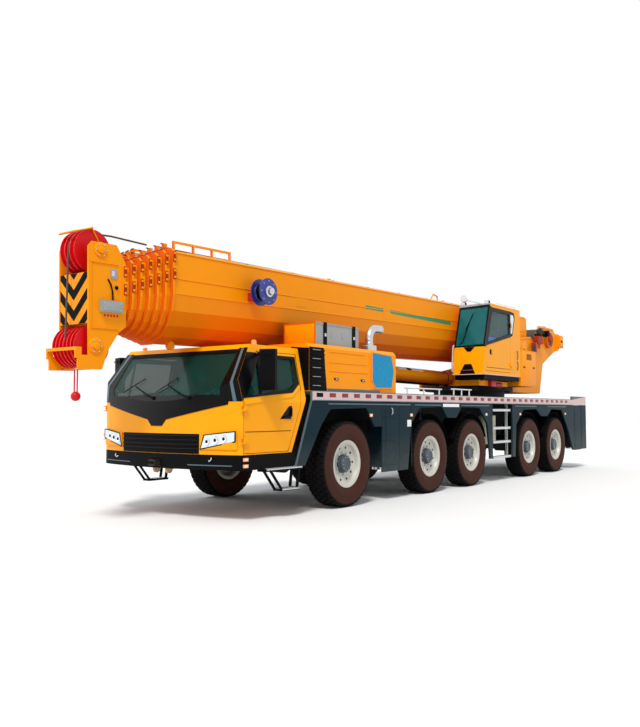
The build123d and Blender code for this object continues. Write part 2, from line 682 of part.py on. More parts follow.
def nose_trims():
    """Grille bars, lamp housings and the cowl, to be joined to the cab."""
    with BuildPart() as trims:
        for low, high, near, far, proud in TRIMS:
            with BuildPart(mode=Mode.PRIVATE) as trim:
                add(nose_ring(low, high, proud))
                with Locations((CAB_NOSE_X, 0, low)):
                    Box(1200, 2 * far, 1000, mode=Mode.INTERSECT)
                if near:
                    with Locations((CAB_NOSE_X, 0, low)):
                        Box(1200, 2 * near, 1000, mode=Mode.SUBTRACT)
            add(trim.part)
        with BuildPart(mode=Mode.PRIVATE) as cowl:
            with BuildSketch(Plane.YZ.offset(CAB_NOSE_X - 400)):
                with BuildLine():
                    Polyline(*COWL, *[(-y, z) for y, z in reversed(COWL)], close=True)
                make_face()
            extrude(amount=800)
            add(nose_ring(COWL[-1][1], COWL[0][1], 9.0), mode=Mode.INTERSECT)
        add(cowl.part)
    return trims.part


with BuildPart() as carrier_cab:
    add(CAB_OUTER)
    add(nose_trims())
    add(CAB_INNER, mode=Mode.SUBTRACT)
    for sign in (1, -1):
        opening = door_outline(0, 0)
        add(side_prism(opening, sign, CAB_HALF_W + 60, CAB_HALF_W - 300), mode=Mode.SUBTRACT)
        add(hinge_pins(DOOR_HINGE_X, sign * DOOR_HINGE_Y, sign * CAB_HALF_W, DOOR_HINGE_Z, 1))
    # windscreen opening
    with BuildSketch(Plane.YZ.offset(CAB_NOSE_X + 100)):
        with Locations((0, sum(SCREEN_Z) / 2)):
            Rectangle(2 * SCREEN_HALF, SCREEN_Z[1] - SCREEN_Z[0])
    extrude(amount=-900, mode=Mode.SUBTRACT)
save(carrier_cab.part, "carrier_cab")

MIRROR = (FRONT_AXLE_X + 2090.0, CAB_HALF_W + 140, 2090.0)  # middle of a mirror head, on its door
MIRROR_TURN = 20.0  # of the mirror heads, in plan
MIRROR_ARM_X = FRONT_AXLE_X + 1985.0
MIRROR_ARM_Z = 2335.0
MIRROR_ARM_T = 36.0

for side, sign in SIDES:
    with BuildPart() as door:
        leaf = door_outline(DOOR_GAP, DOOR_REAR_GAP)
        add(side_prism(leaf, sign, CAB_HALF_W + 60, CAB_HALF_W - 300))
        add(CAB_OUTER, mode=Mode.INTERSECT)
        add(DOOR_SKIN, mode=Mode.SUBTRACT)
        add(side_prism(WINDOW_OUTLINE, sign, CAB_HALF_W + 60, CAB_HALF_W - 320), mode=Mode.SUBTRACT)
        add(hinge_eyes(DOOR_HINGE_X, sign * DOOR_HINGE_Y, sign * CAB_HALF_W, DOOR_HINGE_Z, -1))
        with Locations(Location((MIRROR[0], sign * MIRROR[1], MIRROR[2]), (0, 0, sign * MIRROR_TURN))):
            Box(90, 230, 570)
        with Locations((MIRROR_ARM_X, sign * (CAB_HALF_W + 8), MIRROR_ARM_Z)):
            Box(MIRROR_ARM_T, 350, MIRROR_ARM_T)
        with Locations((MIRROR_ARM_X + 50, sign * (CAB_HALF_W + 165), MIRROR_ARM_Z)):
            Box(100 + MIRROR_ARM_T, MIRROR_ARM_T, MIRROR_ARM_T)
    save(door.part, f"cab_door_{side}")

# cab glass: windscreen and door windows, each pane let into its opening
with BuildPart() as cab_glass:
    add(CAB_OUTER)
    add(cab_block(25, CAB_FLOOR_Z - 50, CAB_ROOF_Z + 100), mode=Mode.SUBTRACT)
    with Locations((CAB_NOSE_X - 350, 0, sum(SCREEN_Z) / 2)):
        Box(900, 2 * SCREEN_HALF - 2 * SEAT, SCREEN_Z[1] - SCREEN_Z[0] - 2 * SEAT, mode=Mode.INTERSECT)
save(cab_glass.part, "cab_glass")

# ---------------------------------------------------------------- bumper and steps
with BuildPart() as cab_bumper:
    with BuildSketch(Plane.XY.offset(BUMPER_Z)):
        with BuildLine():
            add(nose(0))
        make_face()
    extrude(amount=CAB_FLOOR_Z - BUMPER_Z)
    with BuildSketch(Plane.XY.offset(BUMPER_Z)):
        with BuildLine():
            add(nose(-60))
        make_face()
    extrude(amount=CAB_FLOOR_Z - BUMPER_Z, mode=Mode.SUBTRACT)
    with Locations((FRONT_AXLE_X + 900, 0, CAB_FLOOR_Z)):
        Box(900, 4000, 800, mode=Mode.SUBTRACT)
    with Locations((CAB_NOSE_X, 0, JAW_Z)):
        Box(400, 180, 110, mode=Mode.SUBTRACT)
save(cab_bumper.part, "cab_bumper")

with BuildPart() as cab_steps:
    for sign in (1, -1):
        with Locations((FRONT_AXLE_X + 1600, sign * STEP_Y, BUMPER_Z - 20)):
            Box(STEP_LENGTH, STEP_W, 40)
        with Locations((FRONT_AXLE_X + 1465, sign * STEP_Y, LOW_STEP_Z)):
            Box(LOW_STEP_LENGTH, STEP_W, 30)
        for head, foot in STEP_LEGS:
            for inset in (LEG_T / 2, STEP_W - LEG_T / 2):
                with BuildSketch(side_plane(sign * (STEP_Y + STEP_W / 2 - inset))):
                    with BuildLine():
                        Polyline(
                            (FRONT_AXLE_X + head, BUMPER_Z - 20), (FRONT_AXLE_X + head + LEG_W, BUMPER_Z - 20),
                            (FRONT_AXLE_X + foot + LEG_W, LOW_STEP_Z), (FRONT_AXLE_X + foot, LOW_STEP_Z), close=True,
                        )
                    make_face()
                extrude(amount=LEG_T / 2, both=True)
save(cab_steps.part, "cab_steps")

# ---------------------------------------------------------------- engine, hood, locker, exhaust
with BuildPart() as engine:
    with Locations((sum(ENGINE_X) / 2, 0, sum(ENGINE_Z) / 2)):
        Box(ENGINE_X[1] - ENGINE_X[0], 2 * ENGINE_HALF_W, ENGINE_Z[1] - ENGINE_Z[0])
save(engine.part, "engine")

LOUVRES = 9
LOUVRE_PITCH = 68.0


def hood_outline(wall):
    """Half outline of the hood in Y and Z, from its foot up and over to the well along its middle."""
    side, top = HOOD_SIDE - wall, HOOD_TOP - wall
    inner, middle = HOOD_IN_Y + wall, HOOD_MID_TOP - wall
    bevel = HOOD_BEVEL - wall * 2 / 3
    return [(side, DECK_TOP), (side, top - bevel), (side - bevel, top), (inner, top), (inner, middle)]


with BuildPart() as engine_hood:
    for wall, mode in ((0.0, Mode.ADD), (HOOD_WALL, Mode.SUBTRACT)):
        half = hood_outline(wall)
        with BuildSketch(Plane.YZ.offset(HOOD_FRONT - wall)):
            with BuildLine():
                Polyline(*half, *[(-y, z) for y, z in reversed(half)], close=True)
            make_face()
        extrude(amount=-HOOD_LENGTH + 2 * wall, mode=mode)
    with Locations((HOOD_FRONT - 220, 0, HOOD_MID_TOP - HOOD_WALL)):
        Box(480, 2 * (HOOD_IN_Y - 20), 120, mode=Mode.SUBTRACT)
    with Locations((HOOD_FRONT - 15, 0, (DECK_TOP + HOOD_MID_TOP) / 2)):
        Box(60, 2 * (HOOD_IN_Y - 20), HOOD_MID_TOP, mode=Mode.SUBTRACT)
    for sign in (1, -1):
        for level in range(LOUVRES):
            with Locations((HOOD_FRONT - 215, sign * (HOOD_SIDE + 6), DECK_TOP + 80 + level * LOUVRE_PITCH)):
                Box(330, 16, 24)
        with Locations((HOOD_FRONT - 2000, sign * (HOOD_SIDE + 4), 2190)):
            Box(580, 16, 590)
save(engine_hood.part, "engine_hood")

with BuildPart() as locker:
    with Locations((LOCKER_X, LOCKER_Y, (HOOD_TOP + LOCKER_TOP) / 2)):
        Box(LOCKER_LENGTH, LOCKER_W, LOCKER_TOP - HOOD_TOP)
    for x in (-445, 355):
        with Locations((LOCKER_X + x, LOCKER_Y, (HOOD_TOP + LOCKER_TOP + 10) / 2)):
            Box(90, LOCKER_W + 20, LOCKER_TOP + 10 - HOOD_TOP)
save(locker.part, "deck_locker")

with BuildPart() as exhaust:
    with Locations((STACK_X, STACK_Y, HOOD_TOP + 60)):
        Cylinder(STACK_R + 55, 120)
    with BuildLine(side_plane(STACK_Y)) as bend:
        Line((STACK_X, HOOD_TOP + 100), (STACK_X, STACK_Z - STACK_BEND))
        RadiusArc((STACK_X, STACK_Z - STACK_BEND), (STACK_X - STACK_BEND, STACK_Z), -STACK_BEND)
        Line((STACK_X - STACK_BEND, STACK_Z), (STACK_X - 390, STACK_Z))
    with BuildSketch(Plane(origin=bend.line @ 0, z_dir=bend.line % 0)):
        Circle(STACK_R)
    sweep(path=bend.line)
save(exhaust.part, "exhaust_stack")

# ---------------------------------------------------------------- boom
BOOM_ROUND = 1.2  # depth of the faceted lower half against the half width
FACETS = 9  # odd, so that the lowest one is flat


def boom_profile(index, inset=0.0):
    """Outline of one boom section in Y and Z: flat top, straight sides, faceted round bottom."""
    half = BOOM_HALF_W - index * STEP_SIDE - inset
    top = BOOM_TOP - index * STEP_TOP - inset
    floor = BOOM_FLOOR + index * STEP_FLOOR + inset
    depth = (BOOM_HALF_W - index * STEP_SIDE) * BOOM_ROUND - inset
    points = [(-half + BOOM_CHAMFER, top), (half - BOOM_CHAMFER, top), (half, top - BOOM_CHAMFER)]
    for k in range(FACETS + 1):
        angle = radians(180 * k / FACETS)
        points.append((half * cos(angle), floor + depth - depth * sin(angle)))
    points.append((-half, top - BOOM_CHAMFER))
    return points


def boom_tube(index, rear, front, inset=0.0):
    """A solid length of one section's outline."""
    with BuildPart() as tube:
        with BuildSketch(Plane.YZ.offset(rear)):
            with BuildLine():
                Polyline(*boom_profile(index, inset), close=True)
            make_face()
        extrude(amount=front - rear)
    return tube.part


HEAD_HALF = BOOM_HALF_W - (SECTIONS - 1) * STEP_SIDE - 25
HEAD_OUTLINE = (
    (-60, 600), (90, 829), (480, 829), (540, 760), (540, -640), (700, -640), (700, -821),
    (330, -821), (235, -571), (60, -330), (-60, -245),
)
SHEAVES = (  # name, X from the last collar's face, Z, radius, half width, grooves
    ("head_sheave_top", 350.0, 729.0, 290.0, 150.0, 3),
    ("head_sheaves_low", 430.0, -521.0, 270.0, 230.0, 6),
)
GROOVE_DEEP = 34.0
HEAD_X = BASE_FRONT + (SECTIONS - 1) * COLLAR_PITCH
SHEAVE_PIN_R = 40.0
BALL_R = 62.0
BALL_Z = 1710.0
ROPE_BAR = (HEAD_X + 500.0, -812.0)  # in the boom's frame
ROPE_BAR_R = 12.0
BALL_X = PIVOT_X + ROPE_BAR[0] * cos(TILT) + ROPE_BAR[1] * sin(TILT)
ROPE_TOP = PIVOT_Z - ROPE_BAR[0] * sin(TILT) + ROPE_BAR[1] * cos(TILT) - ROPE_BAR_R - SEAT

REEL = (10500.0, 400.0)  # cable reel on the boom's left flank
REEL_R = 205.0
TOP_RAIL_X = (10850.0, 12020.0)


def base_fittings():
    """Cable reel, top rails and the roller under the mouth of the base section."""
    with BuildPart() as fittings:
        with Locations((REEL[0], BOOM_HALF_W + 90, REEL[1] - 60)):
            Box(170, 190, 120)
        with Locations((REEL[0], BOOM_HALF_W + 260, REEL[1])):
            Cylinder(REEL_R * 0.62, 180, rotation=(90, 0, 0))
        for y in (180, 345):
            with Locations((REEL[0], BOOM_HALF_W + y, REEL[1])):
                Cylinder(REEL_R, 18, rotation=(90, 0, 0))
        for sign in (1, -1):
            with Locations((sum(TOP_RAIL_X) / 2, sign * 440, BOOM_TOP + 135)):
                Box(TOP_RAIL_X[1] - TOP_RAIL_X[0], 30, 30)
            for k in range(4):
                x = TOP_RAIL_X[0] + 15 + k * (TOP_RAIL_X[1] - TOP_RAIL_X[0] - 30) / 3
                with Locations((x, sign * 440, BOOM_TOP + 65)):
                    Box(30, 30, 130)
        with Locations((BASE_FRONT - 330, 150, BOOM_FLOOR - 20)):
            Cylinder(62, 60, rotation=(90, 0, 0))
    return fittings.part


for index in range(SECTIONS):
    front = BASE_FRONT + index * COLLAR_PITCH
    rear = BASE_REAR + (150 + index * TAIL_GAP if index else 0)
    half = BOOM_HALF_W - index * STEP_SIDE
    with BuildPart() as section:
        add(boom_tube(index, rear, front))
        if index == 0:
            # bracket for the luffing rod
            for sign in (1, -1):
                with BuildSketch(side_plane(sign * (CYL_EYE_W / 2 + CLEAR))):
                    with BuildLine():
                        Polyline(
                            (EYE_BOOM_X - 90, EYE_BOOM_Z - 60), (EYE_BOOM_X - 50, EYE_BOOM_Z - 90),
                            (EYE_BOOM_X + 50, EYE_BOOM_Z - 90), (EYE_BOOM_X + 90, EYE_BOOM_Z - 60),
                            (EYE_BOOM_X + 300, BOOM_FLOOR + 80), (EYE_BOOM_X - 300, BOOM_FLOOR + 80),
                            close=True,
                        )
                    make_face()
                extrude(amount=-sign * 60)
        # top lugs of the collar
        for sign in (1, -1):
            with Locations((front - 55, sign * half * 0.62, BOOM_TOP - index * STEP_TOP + 40)):
                Box(50, 60, 140)
            with Locations((front - 55, sign * (half + 8), BOOM_TOP - index * STEP_TOP - 300)):
                Box(50, 40, 150)
        if index == 0:
            add(base_fittings())
        add(boom_tube(index, rear - 10, front + 10, BOOM_WALL), mode=Mode.SUBTRACT)
        # collar at the front, with the pads that carry the next section
        add(boom_tube(index, front - COLLAR_T, front, -COLLAR_LIP))
        if index < SECTIONS - 1:
            add(boom_tube(index + 1, front - COLLAR_T - 5, front + 5, -SEAT), mode=Mode.SUBTRACT)
        else:
            add(boom_tube(index, front - COLLAR_T - 5, front + 5, BOOM_WALL), mode=Mode.SUBTRACT)
        if index:
            # tail pads, under the plate of the section outside
            add(boom_tube(index - 1, rear, rear + PAD_T, BOOM_WALL + SEAT))
            add(boom_tube(index, rear - 5, rear + PAD_T + 5, BOOM_WALL), mode=Mode.SUBTRACT)
        else:
            # end plate and trunnions
            add(boom_tube(0, rear, rear + 30))
            for sign in (1, -1):
                with Locations((0, sign * (CHEEK_IN_Y - CLEAR - 30), 0)):
                    Cylinder(260, 60, rotation=(90, 0, 0))
                with Locations((0, sign * (CHEEK_IN_Y + CHEEK_T / 2), 0)):
                    Cylinder(PIVOT_R, CHEEK_T + 40, rotation=(90, 0, 0))
            with Locations((EYE_BOOM_X, 0, EYE_BOOM_Z)):
                Cylinder(CYL_PIN_R, CYL_EYE_W + 120, rotation=(90, 0, 0))
        if index == SECTIONS - 1:
            # boom head: two side plates, the plate between them, sheave pins and ties
            for sign in (1, -1):
                with BuildSketch(side_plane(sign * (HEAD_HALF + HEAD_T))):
                    with BuildLine():
                        Polyline(*[(HEAD_X + x, z) for x, z in HEAD_OUTLINE], close=True)
                    make_face()
                extrude(amount=sign * HEAD_T)
            with Locations((HEAD_X + 525, 0, 100)):
                Box(20, 2 * HEAD_HALF, 660)
            with Locations((HEAD_X - 40, 0, 170)):
                Box(40, 2 * HEAD_HALF, 800)
            with Locations((ROPE_BAR[0], 0, ROPE_BAR[1])):
                Cylinder(ROPE_BAR_R, 2 * HEAD_HALF + HEAD_T, rotation=(90, 0, 0))
            with Locations((HEAD_X + 720, 0, -560)):
                Box(30, 2 * (HEAD_HALF + HEAD_T), 40)
            for sign in (1, -1):
                with Locations((HEAD_X + 690, sign * (HEAD_HALF + HEAD_T / 2), -610)):
                    Box(90, HEAD_T, 140)
            with Locations((HEAD_X + 205, HEAD_HALF + HEAD_T + 30, 0)):
                Box(340, 62, 150)
            for name, x, z, radius, half_w, grooves in SHEAVES:
                with Locations((HEAD_X + x, 0, z)):
                    Cylinder(SHEAVE_PIN_R, 2 * HEAD_HALF + 2 * HEAD_T, rotation=(90, 0, 0))
    name = "boom_base" if index == 0 else f"boom_section_{index + 1}"
    save(section.part, name, BOOM_PLACE)

for name, x, z, radius, half_w, grooves in SHEAVES:
    pitch = 2 * half_w / grooves
    with BuildPart() as sheave:
        with Locations((HEAD_X + x, 0, z)):
            Cylinder(radius - GROOVE_DEEP, 2 * half_w, rotation=(90, 0, 0))
        for k in range(grooves + 1):
            flange = 20 if 0 < k < grooves else 12
            y = -half_w + k * pitch + (6 if k == 0 else -6 if k == grooves else 0)
            with Locations((HEAD_X + x, y, z)):
                Cylinder(radius, flange, rotation=(90, 0, 0))
        with Locations((HEAD_X + x, 0, z)):
            Cylinder(SHEAVE_PIN_R + SEAT, 2 * half_w, rotation=(90, 0, 0), mode=Mode.SUBTRACT)
    save(sheave.part, name, BOOM_PLACE)

with BuildPart() as ball:
    with Locations((BALL_X, 0, BALL_Z)):
        Sphere(BALL_R)
    for y in (-30, 30):
        with Locations((BALL_X, y, (BALL_Z + ROPE_TOP) / 2)):
            Cylinder(9, ROPE_TOP - BALL_Z)
save(ball.part, "hoist_limit_weight")

# ---------------------------------------------------------------- luffing cylinder, along +X from its foot
BARREL_END = CYL_LENGTH - 300
with BuildPart() as barrel:
    with Locations((0, 0, 0)):
        Cylinder(CYL_EYE_R, CYL_EYE_W, rotation=(90, 0, 0))
        Cylinder(CYL_PIN_R + SEAT, CYL_EYE_W, rotation=(90, 0, 0), mode=Mode.SUBTRACT)
    with Locations((CYL_EYE_R, 0, 0)):
        Box(60, 140, 140)
    with BuildSketch(Plane.YZ.offset(CYL_EYE_R + 20)):
        Circle(CYL_R)
    extrude(amount=BARREL_END - CYL_EYE_R - 20)
    with BuildSketch(Plane.YZ.offset(CYL_EYE_R + 100)):
        Circle(ROD_R + SEAT)
    extrude(amount=BARREL_END, mode=Mode.SUBTRACT)
save(barrel.part, "luff_barrel", CYL_PLACE)

with BuildPart() as rod:
    with BuildSketch(Plane.YZ.offset(CYL_EYE_R + 120)):
        Circle(ROD_R)
    extrude(amount=CYL_LENGTH - CYL_EYE_R - 120 - 60)
    with Locations((CYL_LENGTH, 0, 0)):
        Cylinder(CYL_EYE_R, CYL_EYE_W, rotation=(90, 0, 0))
        Cylinder(CYL_PIN_R + SEAT, CYL_EYE_W, rotation=(90, 0, 0), mode=Mode.SUBTRACT)
save(rod.part, "luff_rod", CYL_PLACE)

# ---------------------------------------------------------------- turntable
DRUM_X = PIVOT_X - 1600.0
DRUM_Z = 3480.0
CHEEK = (
    (-8200, BASE_Z), (-6050, BASE_Z), (-6050, 2330), (-8000, 2650), (-8800, 3400),
    (-9600, 3480), (-9950, 3300), (-10250, 3820), (-11250, 3820), (-11400, 3700),
    (-11750, 3700), (-11750, 3280), (-11250, 3150), (-10450, 2800), (-10200, BASE_Z),
)

with BuildPart() as turntable:
    with Locations((SLEW_X, 0, BASE_Z + BASE_T / 2)):
        Cylinder(1050, BASE_T)
    with Locations(((-10200 - 6050) / 2 + FRONT_AXLE_X, 0, BASE_Z + BASE_T / 2)):
        Box(10200 - 6050, 2 * (CHEEK_IN_Y + CHEEK_T), BASE_T)
    for sign in (1, -1):
        with BuildSketch(side_plane(sign * CHEEK_IN_Y)):
            with BuildLine():
                Polyline(*[(FRONT_AXLE_X + x, z) for x, z in CHEEK], close=True)
            make_face()
        extrude(amount=-sign * CHEEK_T)
        with Locations((CYL_X, sign * (CYL_EYE_W / 2 + CLEAR + 30), (BASE_Z + CYL_Z) / 2)):
            Box(180, 60, CYL_Z - BASE_Z)
        with Locations((CYL_X, sign * (CYL_EYE_W / 2 + CLEAR + 30), CYL_Z)):
            Cylinder(90, 60, rotation=(90, 0, 0))
        for x, z, r in ((PIVOT_X, PIVOT_Z, PIVOT_R), (DRUM_X, DRUM_Z, 60)):
            with Locations((x, sign * (CHEEK_IN_Y + CHEEK_T / 2), z)):
                Cylinder(r + SEAT, CHEEK_T, rotation=(90, 0, 0), mode=Mode.SUBTRACT)
        # gearbox covers over the winch shaft, ribs, and the tie at the back
        with Locations((DRUM_X, sign * (CHEEK_IN_Y + CHEEK_T + 45), DRUM_Z)):
            Cylinder(230, 90, rotation=(90, 0, 0))
        with Locations((DRUM_X, sign * (CHEEK_IN_Y + CHEEK_T), DRUM_Z)):
            Cylinder(60 + CLEAR, 60, rotation=(90, 0, 0), mode=Mode.SUBTRACT)
        for x in (-9900, -10180, -11450):
            with Locations((FRONT_AXLE_X + x, sign * (CHEEK_IN_Y + CHEEK_T + 25), 3330)):
                Box(50, 60, 240)
        with Locations((FRONT_AXLE_X - 11570, sign * (CHEEK_IN_Y + CHEEK_T + 60), 3480)):
            Box(300, 130, 330)
    with Locations((CYL_X, 0, CYL_Z)):
        Cylinder(CYL_PIN_R, CYL_EYE_W + 120, rotation=(90, 0, 0))
    with Locations((FRONT_AXLE_X - 11480, 0, 3500)):
        Box(120, 2 * CHEEK_IN_Y + 20, 180)
    # arm that carries the operator's cab
    with Locations(((OP_FRONT + OP_BACK) / 2, 900, BASE_Z + 150)):
        Box(1500, 2 * (900 - CHEEK_IN_Y), 130)
    for x in (OP_FRONT - 400, OP_BACK + 200):
        with Locations((x, 1000, OP_Z[0] - 60)):
            Box(180, 500, 119)
    with Locations(((OP_FRONT + OP_BACK) / 2 + 40, OP_Y[1] - 350, OP_Z[0] - 52)):
        Box(OP_FRONT - OP_BACK - 80, 680, 103)
save(turntable.part, "turntable")

with BuildPart() as winch:
    with Locations((DRUM_X, 0, DRUM_Z)):
        Cylinder(300, 2 * (CHEEK_IN_Y - CLEAR) - 60, rotation=(90, 0, 0))
        Cylinder(60, 2 * (CHEEK_IN_Y + CHEEK_T), rotation=(90, 0, 0))
    for sign in (1, -1):
        with Locations((DRUM_X, sign * (CHEEK_IN_Y - CLEAR - 15), DRUM_Z)):
            Cylinder(390, 30, rotation=(90, 0, 0))
save(winch.part, "winch_drum")

with BuildPart() as rear_cover:
    with Locations(((OP_BACK - 20 + OP_BACK - 950) / 2, 1050, (BASE_Z + BASE_T + 2950) / 2)):
        Box(930, 740, 2950 - BASE_Z - BASE_T)
save(rear_cover.part, "rear_cover")

# ---------------------------------------------------------------- operator's cab
OP_OUTLINE = (
    (OP_FRONT + 60, OP_Z[0]), (OP_FRONT - 30, 2900.0), (OP_FRONT - 330, OP_Z[1]),
    (OP_BACK, OP_Z[1]), (OP_BACK, OP_Z[0]),
)
OP_INNER = (
    (OP_FRONT - 10, OP_Z[0] + OP_WALL), (OP_FRONT - 85, 2900.0),
    (OP_FRONT - 365, OP_Z[1] - OP_WALL), (OP_BACK + OP_WALL, OP_Z[1] - OP_WALL),
    (OP_BACK + OP_WALL, OP_Z[0] + OP_WALL),
)
OP_HINGE_X = OP_BACK + 560
OP_HINGE_Y = OP_Y[1] + 20
OP_HINGE_Z = (2560.0, 3460.0)


def op_door_outline(gap):
    """Outline of the operator's door opening in X and Z, drawn in by the gap for the leaf."""
    return (
        (OP_FRONT - 60 - gap, 2380.0 + gap),
        (OP_FRONT - 100 - gap, 2900.0),
        (OP_FRONT - 400 - gap, 3780.0 - gap),
        (OP_HINGE_X + gap, 3780.0 - gap),
        (OP_HINGE_X + gap, 2380.0 + gap),
    )


OP_PANE = (
    (OP_FRONT - 130, 2860.0), (OP_FRONT - 420, 3720.0), (OP_BACK + 620, 3720.0),
    (OP_BACK + 620, 2980.0),
)


def op_prism(points, y_from, y_to):
    """A prism across the operator's cab between two values of Y."""
    with BuildPart() as prism:
        with BuildSketch(side_plane(y_from)):
            with BuildLine():
                Polyline(*points, close=True)
            make_face()
        extrude(amount=y_from - y_to)
    return prism.part


with BuildPart() as operator_cab:
    add(op_prism(OP_OUTLINE, OP_Y[0] + 60, OP_Y[1]))
    add(op_prism(OP_INNER, OP_Y[0] + 60 + OP_WALL, OP_Y[1] - OP_WALL), mode=Mode.SUBTRACT)
    add(op_prism(op_door_outline(0), OP_Y[1] - 100, OP_Y[1] + 20), mode=Mode.SUBTRACT)
    add(hinge_pins(OP_HINGE_X, OP_HINGE_Y, OP_Y[1], OP_HINGE_Z, -1))
    # roof rails and the round mirror ahead of the roof
    for y in (OP_Y[0] + 130, OP_Y[1] - 70):
        with Locations((OP_BACK + 640, y, OP_Z[1] + 56)):
            Box(1100, 22, 22)
        for x in (OP_BACK + 100, OP_BACK + 640, OP_BACK + 1180):
            with Locations((x, y, OP_Z[1] + 24)):
                Box(22, 22, 50)
    with Locations((OP_FRONT + 20, OP_Y[1] - 240, OP_Z[1] + 10)):
        Box(840, 22, 22)
    with Locations((OP_FRONT + 430, OP_Y[1] - 240, OP_Z[1] + 30)):
        Cylinder(80, 40, rotation=(0, 90, 0))
    with Locations((OP_FRONT - 250, (OP_Y[0] + 60 + OP_Y[1]) / 2, 3300)):
        Box(900, 560, 800, mode=Mode.SUBTRACT)
save(operator_cab.part, "operator_cab")

with BuildPart() as operator_door:
    add(op_prism(op_door_outline(DOOR_GAP), OP_Y[1] - 45, OP_Y[1]))
    add(op_prism(OP_PANE, OP_Y[1] - 60, OP_Y[1] + 10), mode=Mode.SUBTRACT)
    add(hinge_eyes(OP_HINGE_X, OP_HINGE_Y, OP_Y[1], OP_HINGE_Z, 1))
save(operator_door.part, "operator_cab_door")
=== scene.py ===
"""Looks of the five-axle mobile crane: materials and fine pieces round the CAD frame."""
from math import cos, hypot, pi, radians, sin, sqrt

import bmesh
import bpy
from mathutils import Euler, Matrix, Vector


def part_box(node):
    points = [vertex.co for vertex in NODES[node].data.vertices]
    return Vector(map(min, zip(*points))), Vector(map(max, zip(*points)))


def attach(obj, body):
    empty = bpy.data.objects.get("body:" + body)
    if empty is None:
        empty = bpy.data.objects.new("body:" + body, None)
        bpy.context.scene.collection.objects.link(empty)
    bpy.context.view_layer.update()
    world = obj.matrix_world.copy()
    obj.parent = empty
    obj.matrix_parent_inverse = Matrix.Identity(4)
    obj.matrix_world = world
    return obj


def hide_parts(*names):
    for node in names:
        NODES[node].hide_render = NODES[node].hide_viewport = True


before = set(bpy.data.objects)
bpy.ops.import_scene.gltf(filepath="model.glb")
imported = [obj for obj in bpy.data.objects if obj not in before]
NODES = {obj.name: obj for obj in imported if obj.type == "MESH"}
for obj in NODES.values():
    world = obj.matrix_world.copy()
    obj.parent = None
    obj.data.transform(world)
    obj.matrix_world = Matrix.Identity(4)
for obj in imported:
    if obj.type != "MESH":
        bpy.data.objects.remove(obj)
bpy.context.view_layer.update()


def middle(node):
    """The middle of a node's box."""
    a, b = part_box(node)
    return (a + b) / 2


# places in metres; FX is the front axle, from which most lengths count
FX = middle("wheel_1_left").x
AXLES = [middle(f"wheel_{n}_left").x for n in range(1, 6)]
SIDES = (("left", 1), ("right", -1))
HALF_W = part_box("deck")[1].y
DECK_X = (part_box("deck")[0].x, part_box("deck")[1].x)
DECK_TOP = 1.82
CAB_HALF = 1.43
HOOD_Y = 1.4405  # just proud of the hood's side
SCREEN_Y = 1.4525  # the blue screen on it
NOSE_X = FX + 2.7
NOSE_R = 4.680  # plan radius of the cab's bowed nose
LEAN_Z = 1.65  # the screen and the sides lean in above this
SCREEN_LEAN = 0.56 / 0.81
SIDE_LEAN = 0.17 / 0.81
TILT = radians(1.2)  # the boom lies nose down on its rest
PIVOT = Vector((FX - 9.2, 0, 3.15))
DRUM = PIVOT + Vector((-1.6, 0, 0.33))
HEAD_X = 12.8  # back of the boom's head, in the boom's frame
OP_FRONT = FX - 5.15  # front of the operator's cab at its fold
OP_Y = 1.06  # middle of the operator's cab
OP_SIDE = 1.4215  # just proud of its side
ROPE_Y, ROPE_Z, ROPE_R = 0.06, 0.961, 0.012  # the rope's run along the boom's top
ALONG_Y = (0, 1, 0)
UP = (0, 0, 1)

# ---------------------------------------------------------------- camera and lamps
camera = bpy.data.objects.new("camera", bpy.data.cameras.new("camera"))
bpy.context.collection.objects.link(camera)
camera.location = (14.114, 8.650, 1.518)
camera.rotation_euler = Euler((radians(93.45), 0, radians(126.69)))
camera.data.lens = 44.5
camera.data.sensor_width = 36
camera.data.sensor_fit = "HORIZONTAL"
camera.data.clip_end = 200
bpy.context.scene.camera = camera
bpy.context.scene.view_settings.view_transform = "Standard"


def sun(name, strength, angle, rotation, colour=(1, 1, 1)):
    """A distant lamp; its angles are in degrees."""
    lamp = bpy.data.lights.new(name, "SUN")
    lamp.energy = strength
    lamp.angle = radians(angle)
    lamp.color = colour
    obj = bpy.data.objects.new(name, lamp)
    obj.rotation_euler = Euler([radians(v) for v in rotation])
    bpy.context.collection.objects.link(obj)


sun("key_light", 2.3, 12, (38, 0, 118), (1.0, 0.98, 0.95))
sun("fill_light", 0.55, 60, (62, 0, 35))


# ---------------------------------------------------------------- world and materials
def srgb(r, g, b):
    """A colour written in 0..255 as linear values."""
    parts = [v / 255 for v in (r, g, b)]
    return [v / 12.92 if v <= 0.04045 else ((v + 0.055) / 1.055) ** 2.4 for v in parts]


def node(tree, kind, **values):
    """A shader node with its settings and the values of its inputs."""
    made = tree.nodes.new("ShaderNode" + kind)
    for key, value in values.items():
        if hasattr(made, key):
            setattr(made, key, value)
        else:
            made.inputs[key.replace("_", " ")].default_value = value
    return made


world = bpy.data.worlds.new("studio")
bpy.context.scene.world = world
world.use_nodes = True
tree = world.node_tree
tree.nodes.clear()
rays = node(tree, "LightPath")
seen = node(tree, "Math", operation="MAXIMUM")
mirrored = node(tree, "Math", operation="MAXIMUM")
soft = node(tree, "Background", Color=(0.90, 0.95, 1.0, 1), Strength=0.62)
white = node(tree, "Background", Color=(1, 1, 1, 1), Strength=1.0)
both = node(tree, "MixShader")
for source, target in (
        (rays.outputs["Is Camera Ray"], seen.inputs[0]),
        (rays.outputs["Is Transmission Ray"], seen.inputs[1]),
        (seen.outputs[0], mirrored.inputs[0]),
        (rays.outputs["Is Glossy Ray"], mirrored.inputs[1]),
        (mirrored.outputs[0], both.inputs[0]),
        (soft.outputs[0], both.inputs[1]),
        (white.outputs[0], both.inputs[2]),
        (both.outputs[0], node(tree, "OutputWorld").inputs[0])):
    tree.links.new(source, target)


